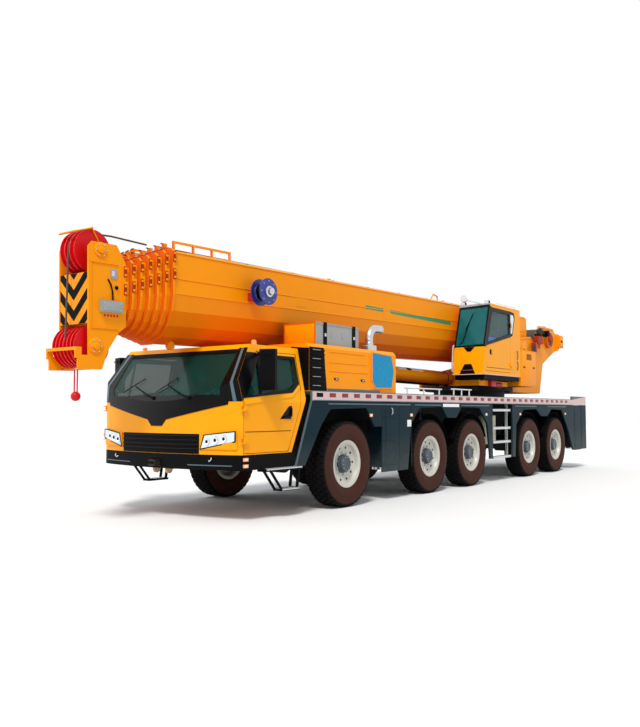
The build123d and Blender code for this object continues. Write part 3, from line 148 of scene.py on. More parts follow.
def material(name, colour, rough=0.5, metal=0.0, vary=0.07, patch=1.5, grain=80.0, bump=0.02,
             coat=0.0, shine=0.5, alpha=1.0, under=None, dirt=None):
    """A finish with patches of colour, uneven roughness and a fine grain.

    under: painted shade, the colour that faces turned down blend to. dirt: heights where road dust is full
    and ends, and its colour.
    """
    mat = bpy.data.materials.new(name)
    mat.use_nodes = True
    nt = mat.node_tree
    link = nt.links.new
    bsdf = nt.nodes["Principled BSDF"]
    where = node(nt, "TexCoord")
    patches = node(nt, "TexNoise", Scale=patch, Detail=5.0, Roughness=0.6)
    link(where.outputs["Object"], patches.inputs["Vector"])
    mix = node(nt, "Mix", data_type="RGBA")
    base = srgb(*colour)
    mix.inputs[6].default_value = [v * (1 - vary) for v in base] + [1]
    mix.inputs[7].default_value = [min(v * (1 + vary), 1) for v in base] + [1]
    link(patches.outputs["Fac"], mix.inputs[0])
    result = mix.outputs[2]
    # painted shade: faces whose normal turns down blend towards the under colour
    if under:
        geometry = node(nt, "NewGeometry")
        split = node(nt, "SeparateXYZ")
        link(geometry.outputs["Normal"], split.inputs[0])
        turned = node(nt, "MapRange")
        turned.inputs["From Min"].default_value = 0.15
        turned.inputs["From Max"].default_value = -0.9
        link(split.outputs["Z"], turned.inputs["Value"])
        shade = node(nt, "Mix", data_type="RGBA")
        shade.inputs[7].default_value = srgb(*under) + [1]
        link(turned.outputs[0], shade.inputs[0])
        link(result, shade.inputs[6])
        result = shade.outputs[2]
    if dirt:
        split = node(nt, "SeparateXYZ")
        link(where.outputs["Object"], split.inputs[0])
        height = node(nt, "MapRange")
        height.inputs["From Min"].default_value = dirt[1]
        height.inputs["From Max"].default_value = dirt[0]
        height.inputs["To Max"].default_value = 0.8
        link(split.outputs["Z"], height.inputs["Value"])
        spots = node(nt, "TexNoise", Scale=9.0, Detail=8.0, Roughness=0.75)
        link(where.outputs["Object"], spots.inputs["Vector"])
        amount = node(nt, "Math", operation="MULTIPLY")
        link(height.outputs[0], amount.inputs[0])
        link(spots.outputs["Fac"], amount.inputs[1])
        dust = node(nt, "Mix", data_type="RGBA")
        dust.inputs[7].default_value = srgb(*dirt[2]) + [1]
        link(amount.outputs[0], dust.inputs[0])
        link(result, dust.inputs[6])
        result = dust.outputs[2]
    link(result, bsdf.inputs["Base Color"])
    uneven = node(nt, "MapRange")
    uneven.inputs["To Min"].default_value = max(rough - 0.08, 0.02)
    uneven.inputs["To Max"].default_value = min(rough + 0.10, 1.0)
    link(patches.outputs["Fac"], uneven.inputs["Value"])
    link(uneven.outputs[0], bsdf.inputs["Roughness"])
    fine = node(nt, "TexNoise", Scale=grain, Detail=4.0)
    link(where.outputs["Object"], fine.inputs["Vector"])
    relief = node(nt, "Bump", Strength=min(bump * 8, 1.0), Distance=bump * 0.05)
    link(fine.outputs["Fac"], relief.inputs["Height"])
    link(relief.outputs[0], bsdf.inputs["Normal"])
    bsdf.inputs["Metallic"].default_value = metal
    bsdf.inputs["Specular IOR Level"].default_value = shine
    bsdf.inputs["Coat Weight"].default_value = coat
    bsdf.inputs["Coat Roughness"].default_value = 0.08
    bsdf.inputs["Alpha"].default_value = alpha
    return mat


# both yellows get a painted shade, a deeper orange, on faces turned down
ORANGE = material("crane_yellow", (250, 156, 4), 0.38, vary=0.05, shine=0.12, under=(222, 88, 2))
CAB_YELLOW = material("cab_yellow", (252, 166, 6), 0.32, vary=0.04, shine=0.14, under=(222, 116, 4))
# dark orange paint on the locker's front and the middle of the deck, and painted shade on the forward faces
# of the boom's collars
DARK_ORANGE_AND_GROOVE_SHADE = material("dark_orange_and_groove_shade", (222, 96, 14), 0.4, vary=0.08, shine=0.15)
TEAL = material("panel_teal", (8, 36, 46), 0.45, vary=0.16, shine=0.08, dirt=(0.4, 1.15, (92, 96, 92)))
TEAL_GREY = material("fender_grey", (84, 104, 112), 0.40, vary=0.10, shine=0.2)
BLACK = material("black_plastic", (9, 9, 11), 0.55, vary=0.3, grain=220, bump=0.05, shine=0.06)
GLOSS_BLACK = material("gloss_black", (5, 5, 7), 0.25, vary=0.3, shine=0.12)
CHASSIS = material("chassis_grey", (20, 21, 23), 0.6, vary=0.3, shine=0.25, dirt=(0.4, 1.4, (62, 54, 46)))
CAST = material("cast_iron", (44, 42, 40), 0.65, vary=0.25, grain=140, bump=0.06)
SIDEWALL = material("sidewall_rubber", (62, 31, 20), 0.75, vary=0.35, patch=5, grain=160,
                    bump=0.05, shine=0.2)
TREAD = material("tread_rubber", (14, 12, 12), 0.88, vary=0.3, patch=7, grain=120, bump=0.07, shine=0.12)
RIM = material("rim_grey", (196, 193, 184), 0.4, vary=0.10, patch=6, metal=0.15)
HUB = material("hub_grey", (66, 76, 84), 0.38, vary=0.2, patch=8, metal=0.3)
STEEL = material("bright_steel", (200, 202, 204), 0.22, metal=0.95, vary=0.06)
CHROME = material("rod_chrome", (214, 216, 218), 0.10, metal=1.0, vary=0.03)
ALUMINIUM = material("aluminium", (205, 207, 206), 0.36, metal=0.75, vary=0.08, grain=160, bump=0.05)
LIGHT_GREY = material("light_grey_paint", (150, 154, 152), 0.45, vary=0.08)
CREAM = material("cream_paint", (216, 208, 184), 0.4, vary=0.06)
DECK_GREY = material("deck_plate", (92, 104, 108), 0.6, vary=0.12, grain=90, bump=0.10)
WHITE = material("white_paint", (236, 236, 234), 0.35, vary=0.03)
RED = material("sheave_red", (206, 8, 16), 0.4, vary=0.2, shine=0.25)
BRICK_DARK = material("pad_red", (158, 46, 14), 0.5, vary=0.25, shine=0.2)
BRICK = material("bracket_red", (172, 26, 40), 0.45, vary=0.10)
NAVY = material("reel_blue", (24, 44, 132), 0.35, vary=0.10, coat=0.2)
GREEN = material("stripe_green", (54, 140, 92), 0.45, vary=0.06)
TAPE_PALE = material("tape_pale", (208, 180, 178), 0.45, vary=0.04, grain=500, bump=0.02)
TAPE_RED = material("tape_red", (122, 10, 18), 0.35, vary=0.08, grain=500, bump=0.02)
AMBER = material("lamp_amber", (250, 160, 90), 0.2, vary=0.05, coat=0.5)
LAMP_RED = material("lamp_red", (170, 20, 20), 0.2, vary=0.05, coat=0.5)
LENS = material("lamp_lens", (214, 226, 232), 0.08, vary=0.06, coat=0.6)
REFLECTOR = material("lamp_reflector", (225, 228, 230), 0.12, metal=0.95, vary=0.05)
GLASS = material("cab_glazing", (12, 66, 58), 0.06, vary=0.2, bump=0.0, alpha=0.5, shine=0.25)
OP_GLASS = material("operator_glazing", (0, 104, 108), 0.06, vary=0.25, bump=0.0, alpha=0.72, shine=0.25)
OP_SIDE_GLASS = material("operator_side_glazing", (84, 112, 112), 0.06, vary=0.1, bump=0.0,
                         alpha=0.42, shine=0.25)
SIGN_BLUE = material("blank_sign_blue", (28, 92, 168), 0.4, vary=0.1)
TRIM = material("cab_trim", (34, 36, 38), 0.7, vary=0.15, shine=0.2)
FABRIC = material("seat_fabric", (50, 54, 62), 0.9, vary=0.2, patch=20, grain=420, bump=0.12, shine=0.2)
ROPE = material("wire_rope", (96, 88, 78), 0.5, metal=0.7, vary=0.2, grain=300, bump=0.2)
HOSE = material("hose_rubber", (20, 20, 22), 0.6, vary=0.2)
HOOK = material("hook_beige", (186, 158, 128), 0.5, vary=0.12)
MESH_BLUE = material("screen_blue", (0, 138, 186), 0.45, vary=0.45, patch=30, grain=90, bump=0.15, shine=0.2)
FLOOR = material("studio_floor", (244, 244, 243), 0.85, vary=0.004, bump=0.0)


# ---------------------------------------------------------------- shape helpers
class Shape:
    """A mesh under construction whose parts can carry different finishes."""

    def __init__(self, name, body, *finishes):
        self.name, self.body, self.finishes = name, body, finishes
        self.mesh = bmesh.new()

    def take(self, new_faces, finish):
        """Gives faces one of the shape's finishes, or the first when none is named."""
        index = self.finishes.index(finish or self.finishes[0])
        for face in new_faces:
            face.material_index = index

    def box(self, centre, size, finish=None, round_by=0.0, turn=None):
        """A block with rounded edges, turned by angles in degrees."""
        made = bmesh.ops.create_cube(self.mesh, size=1.0)["verts"]
        bmesh.ops.scale(self.mesh, vec=Vector(size), verts=made)
        faces = {f for v in made for f in v.link_faces}
        if round_by:
            edges = {e for f in faces for e in f.edges}
            result = bmesh.ops.bevel(
                self.mesh, geom=list(edges), offset=round_by, segments=2, profile=0.6, affect="EDGES")
            made = {v for f in result["faces"] for v in f.verts}
            faces = {f for v in made for f in v.link_faces}
        if turn:
            rotation = Euler([radians(a) for a in turn]).to_matrix()
            bmesh.ops.rotate(self.mesh, cent=(0, 0, 0), matrix=rotation, verts=list(made))
        bmesh.ops.translate(self.mesh, vec=Vector(centre), verts=list(made))
        self.take(faces, finish)

    def lathe(self, profile, origin, axis, finish=None, steps=32, closed=False):
        """Turns (radius, along) points round an axis."""
        axis = Vector(axis).normalized()
        side = axis.orthogonal().normalized()
        other = axis.cross(side)
        rings = []
        for radius, along in profile:
            ring = []
            for k in range(steps):
                a = 2 * pi * k / steps
                out_dir = side * cos(a) + other * sin(a)
                ring.append(self.mesh.verts.new(Vector(origin) + axis * along + out_dir * max(radius, 1e-4)))
            rings.append(ring)
        pairs = list(zip(rings, rings[1:]))
        if closed:
            pairs.append((rings[-1], rings[0]))
        faces = []
        for a, b in pairs:
            for k in range(steps):
                j = (k + 1) % steps
                faces.append(self.mesh.faces.new((a[k], a[j], b[j], b[k])))
        if not closed:
            faces.append(self.mesh.faces.new(rings[0][::-1]))
            faces.append(self.mesh.faces.new(rings[-1]))
        self.take(faces, finish)

    def rod(self, start, end, radius, finish=None, steps=16, bevel=0.0):
        """A round bar between two points, with bevelled ends if asked for."""
        start, end = Vector(start), Vector(end)
        length = (end - start).length
        if bevel:
            profile = ((radius - bevel, 0), (radius, bevel), (radius, length - bevel),
                       (radius - bevel, length))
        else:
            profile = ((radius, 0), (radius, length))
        self.lathe(profile, start, end - start, finish, steps)

    def bolts(self, centre, axis, circle, count, profile, finish, steps=6, turn=0.0):
        """The same turned piece all round a circle across an upright or a sideways axis."""
        for k in range(count):
            a = 2 * pi * k / count + turn
            across = (cos(a), sin(a), 0) if axis[2] else (cos(a), 0, sin(a))
            self.lathe(profile, Vector(centre) + Vector(across) * circle, axis, finish, steps)

    def pipe(self, points, radius, finish=None, steps=10):
        """A round bar through points, mitred at its corners."""
        points = [Vector(p) for p in points]
        rings = []
        previous = None
        for i, point in enumerate(points):
            before = (point - points[i - 1]).normalized() if i else None
            after = (points[i + 1] - point).normalized() if i < len(points) - 1 else None
            along = (before + after).normalized() if before and after else (before or after)
            if previous is None:
                side = along.orthogonal().normalized()
            else:
                side = (previous - along * previous.dot(along)).normalized()
            previous = side
            other = along.cross(side)
            wide = 1 / max(along.dot(before), 0.35) if before and after else 1
            ring = []
            for k in range(steps):
                a = 2 * pi * k / steps
                outward = side * cos(a) + other * sin(a)
                ring.append(self.mesh.verts.new(point + outward * radius * min(wide, 1.5)))
            rings.append(ring)
        faces = []
        for a, b in zip(rings, rings[1:]):
            for k in range(steps):
                j = (k + 1) % steps
                faces.append(self.mesh.faces.new((a[k], a[j], b[j], b[k])))
        faces.append(self.mesh.faces.new(rings[0][::-1]))
        faces.append(self.mesh.faces.new(rings[-1]))
        self.take(faces, finish)

    def slab(self, corners, thick, finish=None):
        """A plate with the given corners, thickened by a vector."""
        thick = Vector(thick)
        a = [self.mesh.verts.new(Vector(c)) for c in corners]
        b = [self.mesh.verts.new(Vector(c) + thick) for c in corners]
        faces = [self.mesh.faces.new(a), self.mesh.faces.new(b[::-1])]
        for k in range(len(a)):
            j = (k + 1) % len(a)
            faces.append(self.mesh.faces.new((a[k], b[k], b[j], a[j])))
        self.take(faces, finish)

    def ribbon(self, lower, upper, thick, finish=None):
        """A bent plate between two lines of points, thickened by a vector."""
        thick = Vector(thick)
        rows = [[self.mesh.verts.new(Vector(p)) for p in line] for line in (
            lower, upper, [Vector(p) + thick for p in upper], [Vector(p) + thick for p in lower])]
        faces = []
        for a, b in zip(rows, rows[1:] + rows[:1]):
            for k in range(len(a) - 1):
                faces.append(self.mesh.faces.new((a[k], a[k + 1], b[k + 1], b[k])))
        faces.append(self.mesh.faces.new([r[0] for r in rows][::-1]))
        faces.append(self.mesh.faces.new([r[-1] for r in rows]))
        self.take(faces, finish)

    def done(self, crease=32.0, replaces=(), place=None):
        """Makes the object, with sharp edges above the crease angle, and puts it on its body."""
        bmesh.ops.recalc_face_normals(self.mesh, faces=self.mesh.faces)
        for face in self.mesh.faces:
            face.smooth = True
        for edge in self.mesh.edges:
            if len(edge.link_faces) == 2 and edge.calc_face_angle(0) > radians(crease):
                edge.smooth = False
        data = bpy.data.meshes.new(self.name)
        self.mesh.to_mesh(data)
        self.mesh.free()
        for finish in self.finishes:
            data.materials.append(finish)
        obj = bpy.data.objects.new(self.name, data)
        bpy.context.collection.objects.link(obj)
        if place is not None:
            obj.matrix_world = place
        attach(obj, self.body)
        if replaces:
            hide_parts(*replaces)
        return obj


def dress(name, base, *rules):
    """Gives a CAD node its finish; each rule is a finish and a test on a face's place and direction."""
    data = NODES[name].data
    data.materials.clear()
    data.materials.append(base)
    for index, (finish, test) in enumerate(rules, start=1):
        data.materials.append(finish)
        for face in data.polygons:
            if test(face.center, face.normal):
                face.material_index = index


def side_on(outline, y, start=FX):
    """An outline of X and Z stood upright at a distance from the middle line."""
    return [(start + x, y, z) for x, z in outline]


def bands(outer, inner):
    """The plates between an outline and a smaller one inside it."""
    corners = range(len(outer))
    return [[outer[k - 1], outer[k], inner[k], inner[k - 1]] for k in corners]


def boom(x, y, z):
    """A point given in the boom's own frame."""
    return Vector((PIVOT.x + x * cos(TILT) + z * sin(TILT), y, PIVOT.z - x * sin(TILT) + z * cos(TILT)))


def nose_x(y, proud=0.0):
    """The cab's nose at a distance from the middle line."""
    y = min(abs(y), 1.32)
    return NOSE_X + proud - NOSE_R + sqrt(NOSE_R ** 2 - y ** 2)


def side_y(z):
    """The cab's outer flank at a height."""
    return CAB_HALF - max(0.0, z - LEAN_Z) * SIDE_LEAN


def door_point(x, z, sign, out=0.0):
    """A point on the cab's leaning flank; X counts from the front axle."""
    return Vector((FX + x, sign * (side_y(z) + out), z))


def screen_x(z):
    """How far forward the cab's leaning screen stands at a height."""
    return NOSE_X - max(0.0, z - LEAN_Z) * SCREEN_LEAN


def skin(y, z, out=0.0):
    """A point on the cab's front: the bowed nose, its cut corner and the leaning screen."""
    corner = NOSE_X - 0.19 - (abs(y) - 1.32) * 0.06 / 0.11 if abs(y) > 1.32 else nose_x(y)
    return (min(corner, screen_x(z)) + out, y, z)


def cover(shape, near, far, rows, out, finish):
    """A thin skin on the cab's front between two lines of (y, z), in narrow strips that follow its bends."""
    for k in range(rows):
        lines = []
        for t in (k / rows, (k + 1) / rows):
            lines.append([skin(y0 + t * (y1 - y0), z0 + t * (z1 - z0), out)
                          for (y0, z0), (y1, z1) in zip(near, far)])
        shape.ribbon(lines[0], lines[1], (0.006, 0, 0.004), finish)


# ---------------------------------------------------------------- finishes of the CAD nodes
for name in NODES:
    if name.startswith(("boom_", "turntable", "luff_barrel", "rear_cover", "engine_hood")):
        dress(name, ORANGE,
              (BLACK, lambda c, n: name == "engine_hood" and abs(c.y) > HOOD_Y and c.x > FX + 0.6),
              # painted shade on the sections' forward faces, in the grooves between collars
              (DARK_ORANGE_AND_GROOVE_SHADE, lambda c, n: name.startswith("boom_section") and n.x > 0.9 and abs(n.y) < 0.1))
    elif name.startswith("outrigger_beam"):
        dress(name, TEAL, (STEEL, lambda c, n: abs(c.y) < 1.09))
    elif name.startswith("outrigger_jack"):
        dress(name, STEEL)
    elif name.startswith("knuckle"):
        dress(name, CAST)
for name, finish in (("axles", CAST), ("engine", CAST), ("cab_bumper", BLACK),
                     ("cab_steps", BLACK), ("deck_rails", WHITE), ("access_ladder", ALUMINIUM),
                     ("cab_glass", GLASS), ("luff_rod", CHROME), ("exhaust_stack", STEEL),
                     ("head_sheave_top", RED), ("head_sheaves_low", RED), ("hoist_limit_weight", RED),
                     ("winch_drum", STEEL)):
    dress(name, finish)

cab_mid = Vector((FX + 1.9, 0, 1.7))
dress("carrier_cab", CAB_YELLOW,
      (TRIM, lambda c, n: n.dot(c - cab_mid) < -0.02 and abs(c.y) < 1.38 and c.x < nose_x(c.y) - 0.05
       and 0.97 < c.z < 2.42),
      (GLOSS_BLACK, lambda c, n: c.x > nose_x(c.y) + 0.0015 and 1.3 < c.z < 1.67),
      (BLACK, lambda c, n: c.x > nose_x(c.y) + 0.0015 and abs(c.y) < 0.8 and c.z < 1.25))
for side, sign in SIDES:
    dress(f"cab_door_{side}", CAB_YELLOW,
          (TRIM, lambda c, n, k=sign: n.y * k < -0.5 and abs(c.y) < 1.42),
          (BLACK, lambda c, n: (c.z > 1.75 and abs(c.y) > 1.435)
           or (c.z > 2.31 and abs(c.y) > 1.30 and abs(n.y) < 0.5)),
          (BLACK, lambda c, n: c.z > 1.69 and abs(n.y) < 0.5 and FX + 1.3 < c.x < FX + 2.42 and c.z < 2.32))
dress("side_panels", TEAL,
      (CHASSIS, lambda c, n: abs(c.y) < 1.44 and abs(n.y) > 0.9),
      (LAMP_RED, lambda c, n: c.x < DECK_X[0] - 0.001 and c.z > 0.79),
      (TEAL_GREY, lambda c, n: n.x > 0.3 and c.x > FX + 0.7))
dress("deck", DECK_GREY, (DARK_ORANGE_AND_GROOVE_SHADE, lambda c, n: abs(c.y) < 0.22 and c.z > 1.85),
      (TAPE_PALE, lambda c, n: abs(n.y) > 0.9 and c.z < 1.83))
dress("carrier_frame", CHASSIS, (CREAM, lambda c, n: 0.95 < c.y < 1.25 and FX - 6.3 < c.x < FX - 5.6))
dress("nose_frame", CHASSIS, (HOOK, lambda c, n: c.x > FX + 2.41 and abs(c.y) > 0.1 and c.z < 0.76))
dress("deck_locker", LIGHT_GREY,
      (DARK_ORANGE_AND_GROOVE_SHADE, lambda c, n: n.x > 0.9),
      (BLACK, lambda c, n: c.y > 1.281 and (abs(c.x - FX + 0.42) < 0.06 or abs(c.x - FX - 0.38) < 0.06)))
op_mid = Vector((middle("operator_cab").x - 0.1, OP_Y, 3.0))
dress("operator_cab", CAB_YELLOW,
      (TRIM, lambda c, n: n.dot(c - op_mid) < -0.02 and 0.72 < c.y < 1.40 and c.z < 3.82),
      (WHITE, lambda c, n: c.z > 3.855),
      (BLACK, lambda c, n: c.z > 2.95 and c.x > OP_FRONT - 0.40 and n.x > 0.2 and c.z < 3.6))
dress("operator_cab_door", CAB_YELLOW,
      (TRIM, lambda c, n: n.y < -0.5),
      (GLOSS_BLACK, lambda c, n: abs(n.y) < 0.5 and c.z > 2.84))
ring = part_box("turntable")[0].z
dress("turntable", ORANGE,
      (CHASSIS, lambda c, n: c.z < ring + 0.12),
      (BLACK, lambda c, n: 2.19 < c.z < 2.305 and c.y > 0.72))

reel = boom(10.5, 0.55, 0.4)
dress("boom_base", ORANGE,
      # painted shade on the forward faces of the base's collar
      (DARK_ORANGE_AND_GROOVE_SHADE, lambda c, n: n.x > 0.9 and c.x > FX + 2.0),
      (NAVY, lambda c, n: hypot(c.x - reel.x, c.z - reel.z) < 0.215 and c.y > 0.72),
      (STEEL, lambda c, n: hypot(c.x - reel.x, c.z - reel.z) < 0.135 and 0.75 < c.y < 0.885
       and abs(n.y) < 0.5),
      (BRICK, lambda c, n: 0.56 < c.y < 0.722 and abs(c.x - reel.x) < 0.12 and c.z < reel.z + 0.05))
grey_box = boom(HEAD_X + 0.205, 0, 0)
dress("boom_section_7", ORANGE,
      (LIGHT_GREY, lambda c, n: c.y > 0.312 and abs(c.x - grey_box.x) < 0.18
       and abs(c.z - grey_box.z) < 0.09))

# ---------------------------------------------------------------- wheels
TYRE_R, TYRE_HALF = 0.683, 0.1925
BLOCKS = 42
ROWS = ((-0.168, -0.108, 0.0), (-0.094, -0.036, 0.5), (-0.024, 0.024, 0.0), (0.036, 0.094, 0.5),
        (0.108, 0.168, 0.0))
PITCH_STEPS = ((0.0, 1), (0.70, 1), (0.76, 0), (0.94, 0))
GROOVE = 0.017


def tyre(shape):
    """A block-tread tyre: rows of lugs between grooves, and a crowned sidewall with ribs."""
    bm = shape.mesh
    lines = []  # (across, radius, shift, lug top)
    wall = [(0.150, 0.335), (0.152, 0.376), (0.166, 0.392), (0.186, 0.43), (0.1925, 0.49), (0.1925, 0.52),
            (0.189, 0.525), (0.189, 0.56), (0.186, 0.60), (0.184, 0.606), (0.180, 0.634), (0.178, 0.640)]
    for across, radius in wall:
        lines.append((-across, radius, 0.0, None))
    for a, b, shift in ROWS:
        crown = -0.012 * ((abs(a) + abs(b)) / 2 / 0.168) ** 2
        lines.append((a - 0.005, TYRE_R + crown - GROOVE, shift, None))
        lines.append((a, TYRE_R + crown, shift, True))
        lines.append((b, TYRE_R + crown, shift, True))
        lines.append((b + 0.005, TYRE_R + crown - GROOVE, shift, None))
    for across, radius in reversed(wall):
        lines.append((across, radius, 0.0, None))
    steps = BLOCKS * len(PITCH_STEPS)
    rings = []
    for across, radius, shift, lug in lines:
        ring = []
        for k in range(steps):
            block, part = divmod(k, len(PITCH_STEPS))
            share, top = PITCH_STEPS[part]
            angle = 2 * pi * (block + share + shift) / BLOCKS
            r = radius
            if lug and not top:
                r -= GROOVE
            if 0.63 < radius < 0.65 and not top:
                r -= 0.010
            ring.append(bm.verts.new((r * cos(angle), across, r * sin(angle))))
        rings.append(ring)
    for i, (a, b) in enumerate(zip(rings, rings[1:])):
        tread = len(wall) - 2 <= i < len(rings) - len(wall) + 1
        for k in range(steps):
            j = (k + 1) % steps
            face = bm.faces.new((a[k], a[j], b[j], b[k]))
            face.material_index = int(tread)  # the sidewall's finish comes first, then the tread's


wheel = Shape("wheel_detail", "carrier", SIDEWALL, TREAD, RIM, HUB, STEEL, CAST)
tyre(wheel)
wheel.lathe([(0.330, 0.150), (0.345, 0.152), (0.374, 0.156), (0.378, 0.163), (0.372, 0.168), (0.352, 0.166),
             (0.334, 0.158), (0.318, 0.150), (0.310, 0.128), (0.304, 0.098), (0.286, 0.086), (0.250, 0.080),
             (0.214, 0.074), (0.206, 0.068), (0.150, 0.066), (0.146, 0.052), (0.206, 0.050), (0.286, 0.062),
             (0.316, 0.070), (0.316, -0.150), (0.372, -0.152), (0.374, -0.164), (0.330, -0.164),
             (0.330, -0.150)], (0, 0, 0), ALONG_Y, RIM, 72, closed=True)
wheel.lathe([(0.150, 0.060), (0.148, 0.086), (0.138, 0.098), (0.132, 0.140), (0.122, 0.152), (0.086, 0.156),
             (0.080, 0.150), (0.046, 0.148), (0.0, 0.147)], (0, 0, 0), ALONG_Y, HUB, 40)
wheel.lathe([(0.20, -0.06), (0.21, 0.0), (0.20, 0.055)], (0, 0, 0), ALONG_Y, CAST, 40)
NUTS, HOLES, SCREWS = 0.178, 0.262, 0.105  # radii of the circles on the rim and the hub
HALF_STEP = pi / 10
wheel.bolts((0, 0, 0), ALONG_Y, NUTS, 10, [(0.016, 0.064), (0.015, 0.092), (0.008, 0.098)], STEEL)
wheel.bolts((0, 0, 0), ALONG_Y, HOLES, 10, [(0.021, 0.076), (0.021, 0.0845), (0.017, 0.0850)], CAST,
            14, HALF_STEP)
wheel.bolts((0, 0, 0), ALONG_Y, SCREWS, 10, [(0.008, 0.150), (0.008, 0.160)], STEEL, turn=HALF_STEP)
first = None
for number, x in enumerate(AXLES, start=1):
    for side, sign in SIDES:
        node_name = f"wheel_{number}_{side}"
        place = Matrix.Translation((x, sign * (HALF_W - TYRE_HALF), TYRE_R)) @ Matrix.Scale(sign, 4, ALONG_Y)
        place = place @ Matrix.Rotation(0.37 * number, 4, "Y")
        if first is None:
            wheel.body = node_name
            first = wheel.done(crease=28, place=place)
            first.name = node_name + "_detail"
            obj = first
        else:
            obj = bpy.data.objects.new(node_name + "_detail", first.data)
            bpy.context.collection.objects.link(obj)
            obj.matrix_world = place
            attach(obj, node_name)
        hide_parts(node_name)

# ---------------------------------------------------------------- carrier cab: front
lamps = Shape("carrier_lamps", "carrier", AMBER, WHITE, LAMP_RED)
WIPER_Y = {1: 0.62, -1: -0.1}  # where the left and the right wiper turn
front = Shape("cab_front_trim", "carrier", BLACK, GLOSS_BLACK, TEAL_GREY, REFLECTOR, LENS, STEEL, CHASSIS)
ys = [k * 0.79 / 8 for k in range(-8, 9)]
front.ribbon([(nose_x(y, 0.001), y, 0.93) for y in ys], [(nose_x(y, 0.001), y, 1.205) for y in ys],
             (0.004, 0, 0), BLACK)
for sign in (1, -1):
    # headlamp: its surround, the clear lens and three lamps
    lower = [(sign * (0.815 + k * 0.56 / 24), 0.988 + 0.115 * k / 24) for k in range(25)]
    upper = [(sign * (0.875 + k * 0.50 / 24), 1.197 + 0.055 * k / 24) for k in range(25)]
    front.ribbon([(nose_x(y, 0.019), y, z) for y, z in lower], [(nose_x(y, 0.019), y, z) for y, z in upper],
                 (0.003, 0, 0), BLACK)
    front.ribbon([(nose_x(y, 0.0225), y, z + 0.016) for y, z in lower[1:-1]],
                 [(nose_x(y, 0.0225), y, z - 0.014) for y, z in upper[1:-1]], (0.002, 0, 0), LENS)
    for y, radius in ((0.93, 0.052), (1.06, 0.056), (1.19, 0.052)):
        spot = (nose_x(y, 0.025), sign * y, 1.103 + (y - 0.93) * 0.15)
        front.lathe([(radius, 0), (radius, 0.004), (radius * 0.9, 0.006), (radius * 0.55, 0.002)], spot,
                    (1, 0, 0), REFLECTOR, 24)
        front.lathe([(radius * 0.45, 0.002), (radius * 0.35, 0.008), (0.0, 0.010)], spot, (1, 0, 0),
                    GLOSS_BLACK, 20)
    # black corner of the windscreen, a grey strip along its edge that is a painted highlight, and the black
    # flank behind it
    heights = [LEAN_Z + 0.755 * k / 60 for k in range(61)]
    rim = [(sign * 1.117, z) for z in heights]
    edge = [(sign * (side_y(z) - 0.001), z) for z in heights]
    cover(front, rim, edge, 6, 0.001, GLOSS_BLACK)
    rise = [k / 60 for k in range(61)]
    cover(front, [(sign * (1.315 - 0.15 * t), z) for t, z in zip(rise, heights)],
          [(sign * (1.36 - 0.15 * t), z) for t, z in zip(rise, heights)], 2, 0.004, TEAL_GREY)
    dark = ((2.447, 1.66), (2.452, 1.66), (2.486, 1.96), (2.222, 2.342), (2.022, 2.342))
    front.slab([door_point(x, z, sign, 0.001) for x, z in dark], (0, sign * 0.006, 0.001), GLOSS_BLACK)
    # bumper line and a small hook
    ys = [sign * (0.60 + 0.70 * k / 6) for k in range(7)]
    front.ribbon([(nose_x(y, 0.001), y, 0.772) for y in ys], [(nose_x(y, 0.001), y, 0.786) for y in ys],
                 (0.006, 0, 0), TEAL_GREY)
    hook_x = nose_x(1.0, 0.012)
    front.pipe([(hook_x, sign, 0.885), (hook_x + 0.012, sign, 0.855), (hook_x + 0.012, sign * 0.97, 0.835),
                (hook_x, sign * 0.945, 0.85)], 0.009, STEEL, 10)
    # side marker lamps, beacon on the roof, and treads on the steps
    for z in (0.775, 0.862):
        lamps.box((FX + 2.39, sign * 1.433, z), (0.105, 0.014, 0.05), AMBER, 0.006)
        lamps.box((FX + 2.39, sign * 1.436, z), (0.06, 0.014, 0.028), WHITE, 0.004)
    lamps.lathe([(0.05, 0), (0.052, 0.02), (0.040, 0.026), (0.038, 0.07), (0.02, 0.082)],
                (FX + 1.93, sign * 1.16, 2.455), UP, AMBER, 24)
    for length, x, z in ((0.80, 1.60, 0.7165), (0.39, 1.465, 0.4165)):
        front.box((FX + x, sign * 1.39, z), (length, 0.15, 0.008), STEEL, 0.002)
        front.box((FX + x, sign * 1.472, z - 0.012), (length, 0.006, 0.016), STEEL)
        for k in range(int(length / 0.04)):
            front.box((FX + x - length / 2 + 0.03 + 0.04 * k, sign * 1.39, z + 0.006),
                      (0.012, 0.13, 0.006), STEEL)
    # wiper
    pivot = Vector((screen_x(1.71) + 0.03, WIPER_Y[sign], 1.705))
    tip = Vector((screen_x(1.90) + 0.035, pivot.y - 0.55, 1.90))
    front.pipe([pivot, pivot.lerp(tip, 0.5) + Vector((0.03, 0, 0.01)), tip], 0.009, BLACK, 8)
    front.pipe([Vector((screen_x(1.80) + 0.022, pivot.y - 0.72, 1.80)), tip,
                Vector((screen_x(2.0) + 0.022, pivot.y - 0.40, 2.0))], 0.007, BLACK, 8)
    front.lathe([(0.03, 0), (0.028, 0.02), (0.012, 0.03)], pivot - Vector((0.02, 0, 0)),
                (1, 0, 0.4), BLACK, 16)
ys = [k * 0.0295 for k in range(-44, 45)]
cover(front, [(y, LEAN_Z) for y in ys], [(y, 1.738) for y in ys], 9, 0.002, GLOSS_BLACK)
ys = [k * 0.78 / 8 for k in range(-8, 9)]
for z in (1.0, 1.06, 1.12, 1.18):  # lit edges of the grille's bars
    front.ribbon([(nose_x(y, 0.0145), y, z - 0.003) for y in ys],
                 [(nose_x(y, 0.0145), y, z + 0.003) for y in ys], (0.002, 0, 0), CHASSIS)
front.slab([(screen_x(2.33), -1.12, 2.33), (screen_x(2.33), 1.12, 2.33), (screen_x(2.39), 1.18, 2.39),
            (screen_x(2.39), -1.18, 2.39)], (0.006, 0, 0.004), BLACK)
front.done(crease=30)


